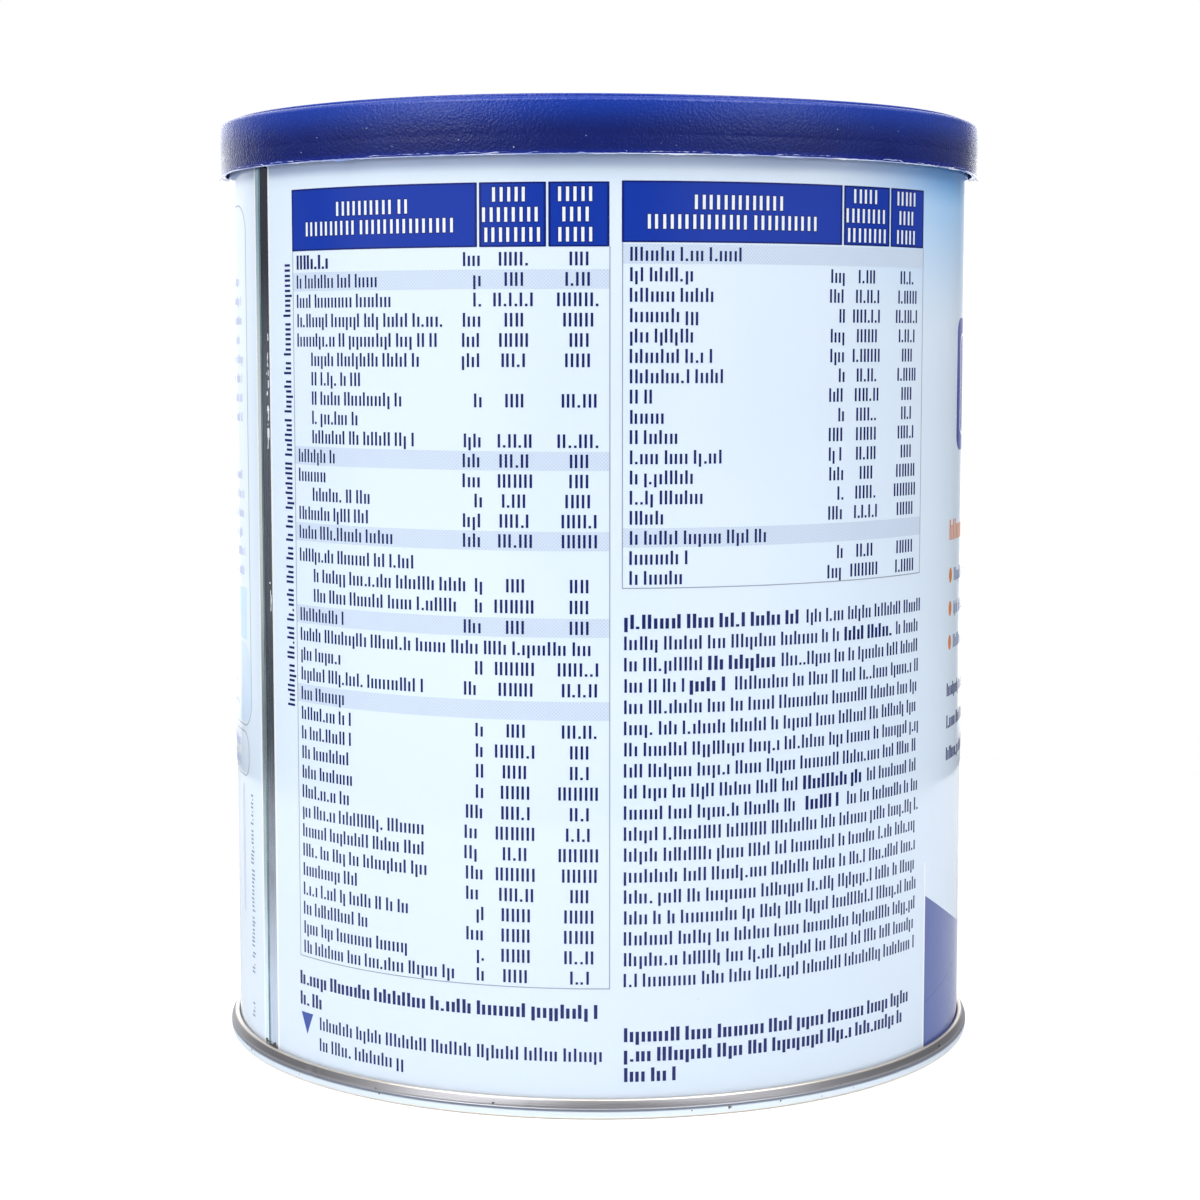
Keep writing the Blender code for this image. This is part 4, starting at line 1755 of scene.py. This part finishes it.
@dataclass(frozen=True)
class Softbox:
    """Soft rectangular light that faces the middle of the tin.

    Attributes:
        name: The light's name.
        azimuth: Degrees round from the camera's side, to the right.
        elevation: Degrees above the horizon.
        distance: Metres from the middle of the tin.
        size: Width and height in metres.
        power: Power in watts.
    """

    name: str
    azimuth: float
    elevation: float
    distance: float
    size: Span
    power: float

    def build(self) -> None:
        """Make the light."""
        data = bpy.data.lights.new(self.name, "AREA")
        data.shape = "RECTANGLE"
        data.size, data.size_y = self.size
        data.energy = self.power
        light = bpy.data.objects.new(self.name, data)
        turn, lift = radians(self.azimuth), radians(self.elevation)
        way = Vector((sin(turn) * cos(lift), -cos(turn) * cos(lift), sin(lift)))
        light.location = Vector((0.0, 0.0, 0.08)) + way * self.distance
        light.rotation_euler = way.to_track_quat("Z", "Y").to_euler()
        light.visible_camera = False
        bpy.context.scene.collection.objects.link(light)


@dataclass
class Studio:
    """White floor, soft lights and the camera of the photo.

    The world is white to the camera. To the tin it is a dim room with a bright sheet behind it and
    softer light from the front's two sides, as in a light tent that is open at the front.

    Attributes:
        camera_distance: Metres from the camera to the tin's axis.
        camera_height: Its height above the floor.
        camera_pitch: How far it looks down, in radians.
        focal_length: Focal length in mm, on a film 36 mm wide.
        side_shift: Sideways shift of the film, as a share of its width.
        floor_radius: Radius of the floor in metres.
        floor_colour: Its colour.
        floor_lift: How much it glows to the camera, so that it melts into the white room.
        under: Strength of the room's light from below.
        room: Strength of its light from all round.
        glows: Brighter patches of the room.
        boxes: Soft lights.
    """

    camera_distance: float = 0.4551
    camera_height: float = 0.1199
    camera_pitch: float = 0.1001
    focal_length: float = 77.78
    side_shift: float = 1.4 / 1200
    floor_radius: float = 0.3
    floor_colour: Colour = (0.86, 0.87, 0.88)
    floor_lift: float = 0.45
    under: float = 0.13
    room: float = 0.26
    glows: tuple[Glow, ...] = (
        Glow(1.6, -178.0, 24.5, 2.0, -0.14, (0.10, 0.50)),
        Glow(1.0, -170.0, 33.0, 10.0, -0.14, (0.0, 0.8)),
        Glow(0.6, -138.0, 26.0, 7.0, 0.45, (0.80, 0.92)),
        Glow(0.5, 132.0, 28.0, 8.0, 0.45, (0.80, 0.92)),
        Glow(0.6, -54.0, 26.0, 14.0, -0.16, (0.30, 0.65)),
        Glow(0.5, 50.0, 26.0, 14.0, -0.16, (0.30, 0.65)),
        Glow(0.6, 0.0, 179.0, 0.5, 0.93, (1.5, 2.0)),
        Glow(0.15, 0.0, 80.0, 12.0, -1.2, (-0.08, -0.02)))
    boxes: tuple[Softbox, ...] = (
        Softbox("softbox_left", -49.0, 53.0, 0.7, (0.50, 0.40), 3.15),
        Softbox("softbox_right", 52.0, 56.0, 0.7, (0.50, 0.40), 2.7),
        Softbox("softbox_left_low", -47.0, 21.0, 0.7, (0.32, 0.09), 0.48),
        Softbox("softbox_right_low", 47.0, 21.0, 0.7, (0.32, 0.09), 0.28))

    def build_camera(self) -> None:
        """Set up the camera at the photo's place, angle and framing."""
        data = bpy.data.cameras.new("camera")
        data.lens = self.focal_length
        data.shift_x = self.side_shift
        data.clip_start, data.clip_end = 0.01, 30.0
        camera = bpy.data.objects.new("camera", data)
        camera.location = (0.0, -self.camera_distance, self.camera_height)
        camera.rotation_euler = (pi / 2 - self.camera_pitch, 0.0, 0.0)
        bpy.context.scene.collection.objects.link(camera)
        bpy.context.scene.camera = camera

    def build_floor(self) -> None:
        """Make the round white floor."""
        turn = 2 * pi * np.arange(128) / 128
        ring = self.floor_radius * np.stack([np.cos(turn), np.sin(turn), 0 * turn], axis=1)
        mesh = bpy.data.meshes.new("floor")
        mesh.from_pydata(ring.tolist(), [], [list(range(len(ring)))])
        draft = Draft.start("floor_paper")
        drift = draft.drift(self.floor_colour, scaled(self.floor_colour, 0.98), 8.0)
        seen = draft.shade.add("ShaderNodeLightPath").outputs["Is Camera Ray"]
        mesh.materials.append(draft.finish({
            "Base Color": drift["Color"], "Roughness": 0.8, "Specular IOR Level": 0.2,
            "Emission Color": WHITE_LIGHT,
            "Emission Strength": draft.shade.math("MULTIPLY", seen, self.floor_lift)}))
        floor = bpy.data.objects.new("floor", mesh)
        bpy.context.scene.collection.objects.link(floor)

    def build_world(self) -> None:
        """Make the room: dim in front, bright behind, plain white to the camera.

        Its light from below is weaker, by a smooth step of the direction's height.
        """
        world = bpy.data.worlds.new("room")
        world.use_nodes = True
        bpy.context.scene.world = world
        shade = Shading(world.node_tree)
        world.node_tree.nodes.clear()
        way = shade.add("ShaderNodeTexCoord").outputs["Generated"]
        split = shade.add("ShaderNodeSeparateXYZ", {0: way}).outputs
        flat = shade.math("SQRT", shade.math("SUBTRACT", 1.0, shade.math("POWER", split["Z"], 2.0)))
        level = shade.ramp(split["Z"], -0.02, 0.0, self.under, self.room)
        for glow in self.glows:
            level = shade.math("ADD", level, glow.place(shade, split, flat))
        seen = shade.add("ShaderNodeLightPath").outputs["Is Camera Ray"]
        lit = shade.add("ShaderNodeBackground", {"Color": (0.97, 0.985, 1.0), "Strength": level})
        white = shade.add("ShaderNodeBackground", {"Color": WHITE_LIGHT, "Strength": 1.0})
        mixed = shade.add("ShaderNodeMixShader", {0: seen, 1: lit.outputs[0], 2: white.outputs[0]})
        shade.add("ShaderNodeOutputWorld", {"Surface": mixed.outputs[0]})

    def build(self) -> None:
        """Set up the studio."""
        bpy.context.scene.view_settings.view_transform = "Standard"
        self.build_camera()
        self.build_floor()
        self.build_world()
        for box in self.boxes:
            box.build()
        log.info("studio: camera, floor and lights")


def main() -> None:
    """Build the tin piece by piece, then the studio."""
    logging.basicConfig(level=logging.INFO, format="%(name)s: %(message)s")
    build_effects()
    for part in (Wall(), SideSeam(), Base(), Lid(), BackPanel(), FrontPanel(), SidePanel(), Studio()):
        part.build()
        log.info("%s is built", type(part).__name__)


if __name__ == "__main__":
    main()
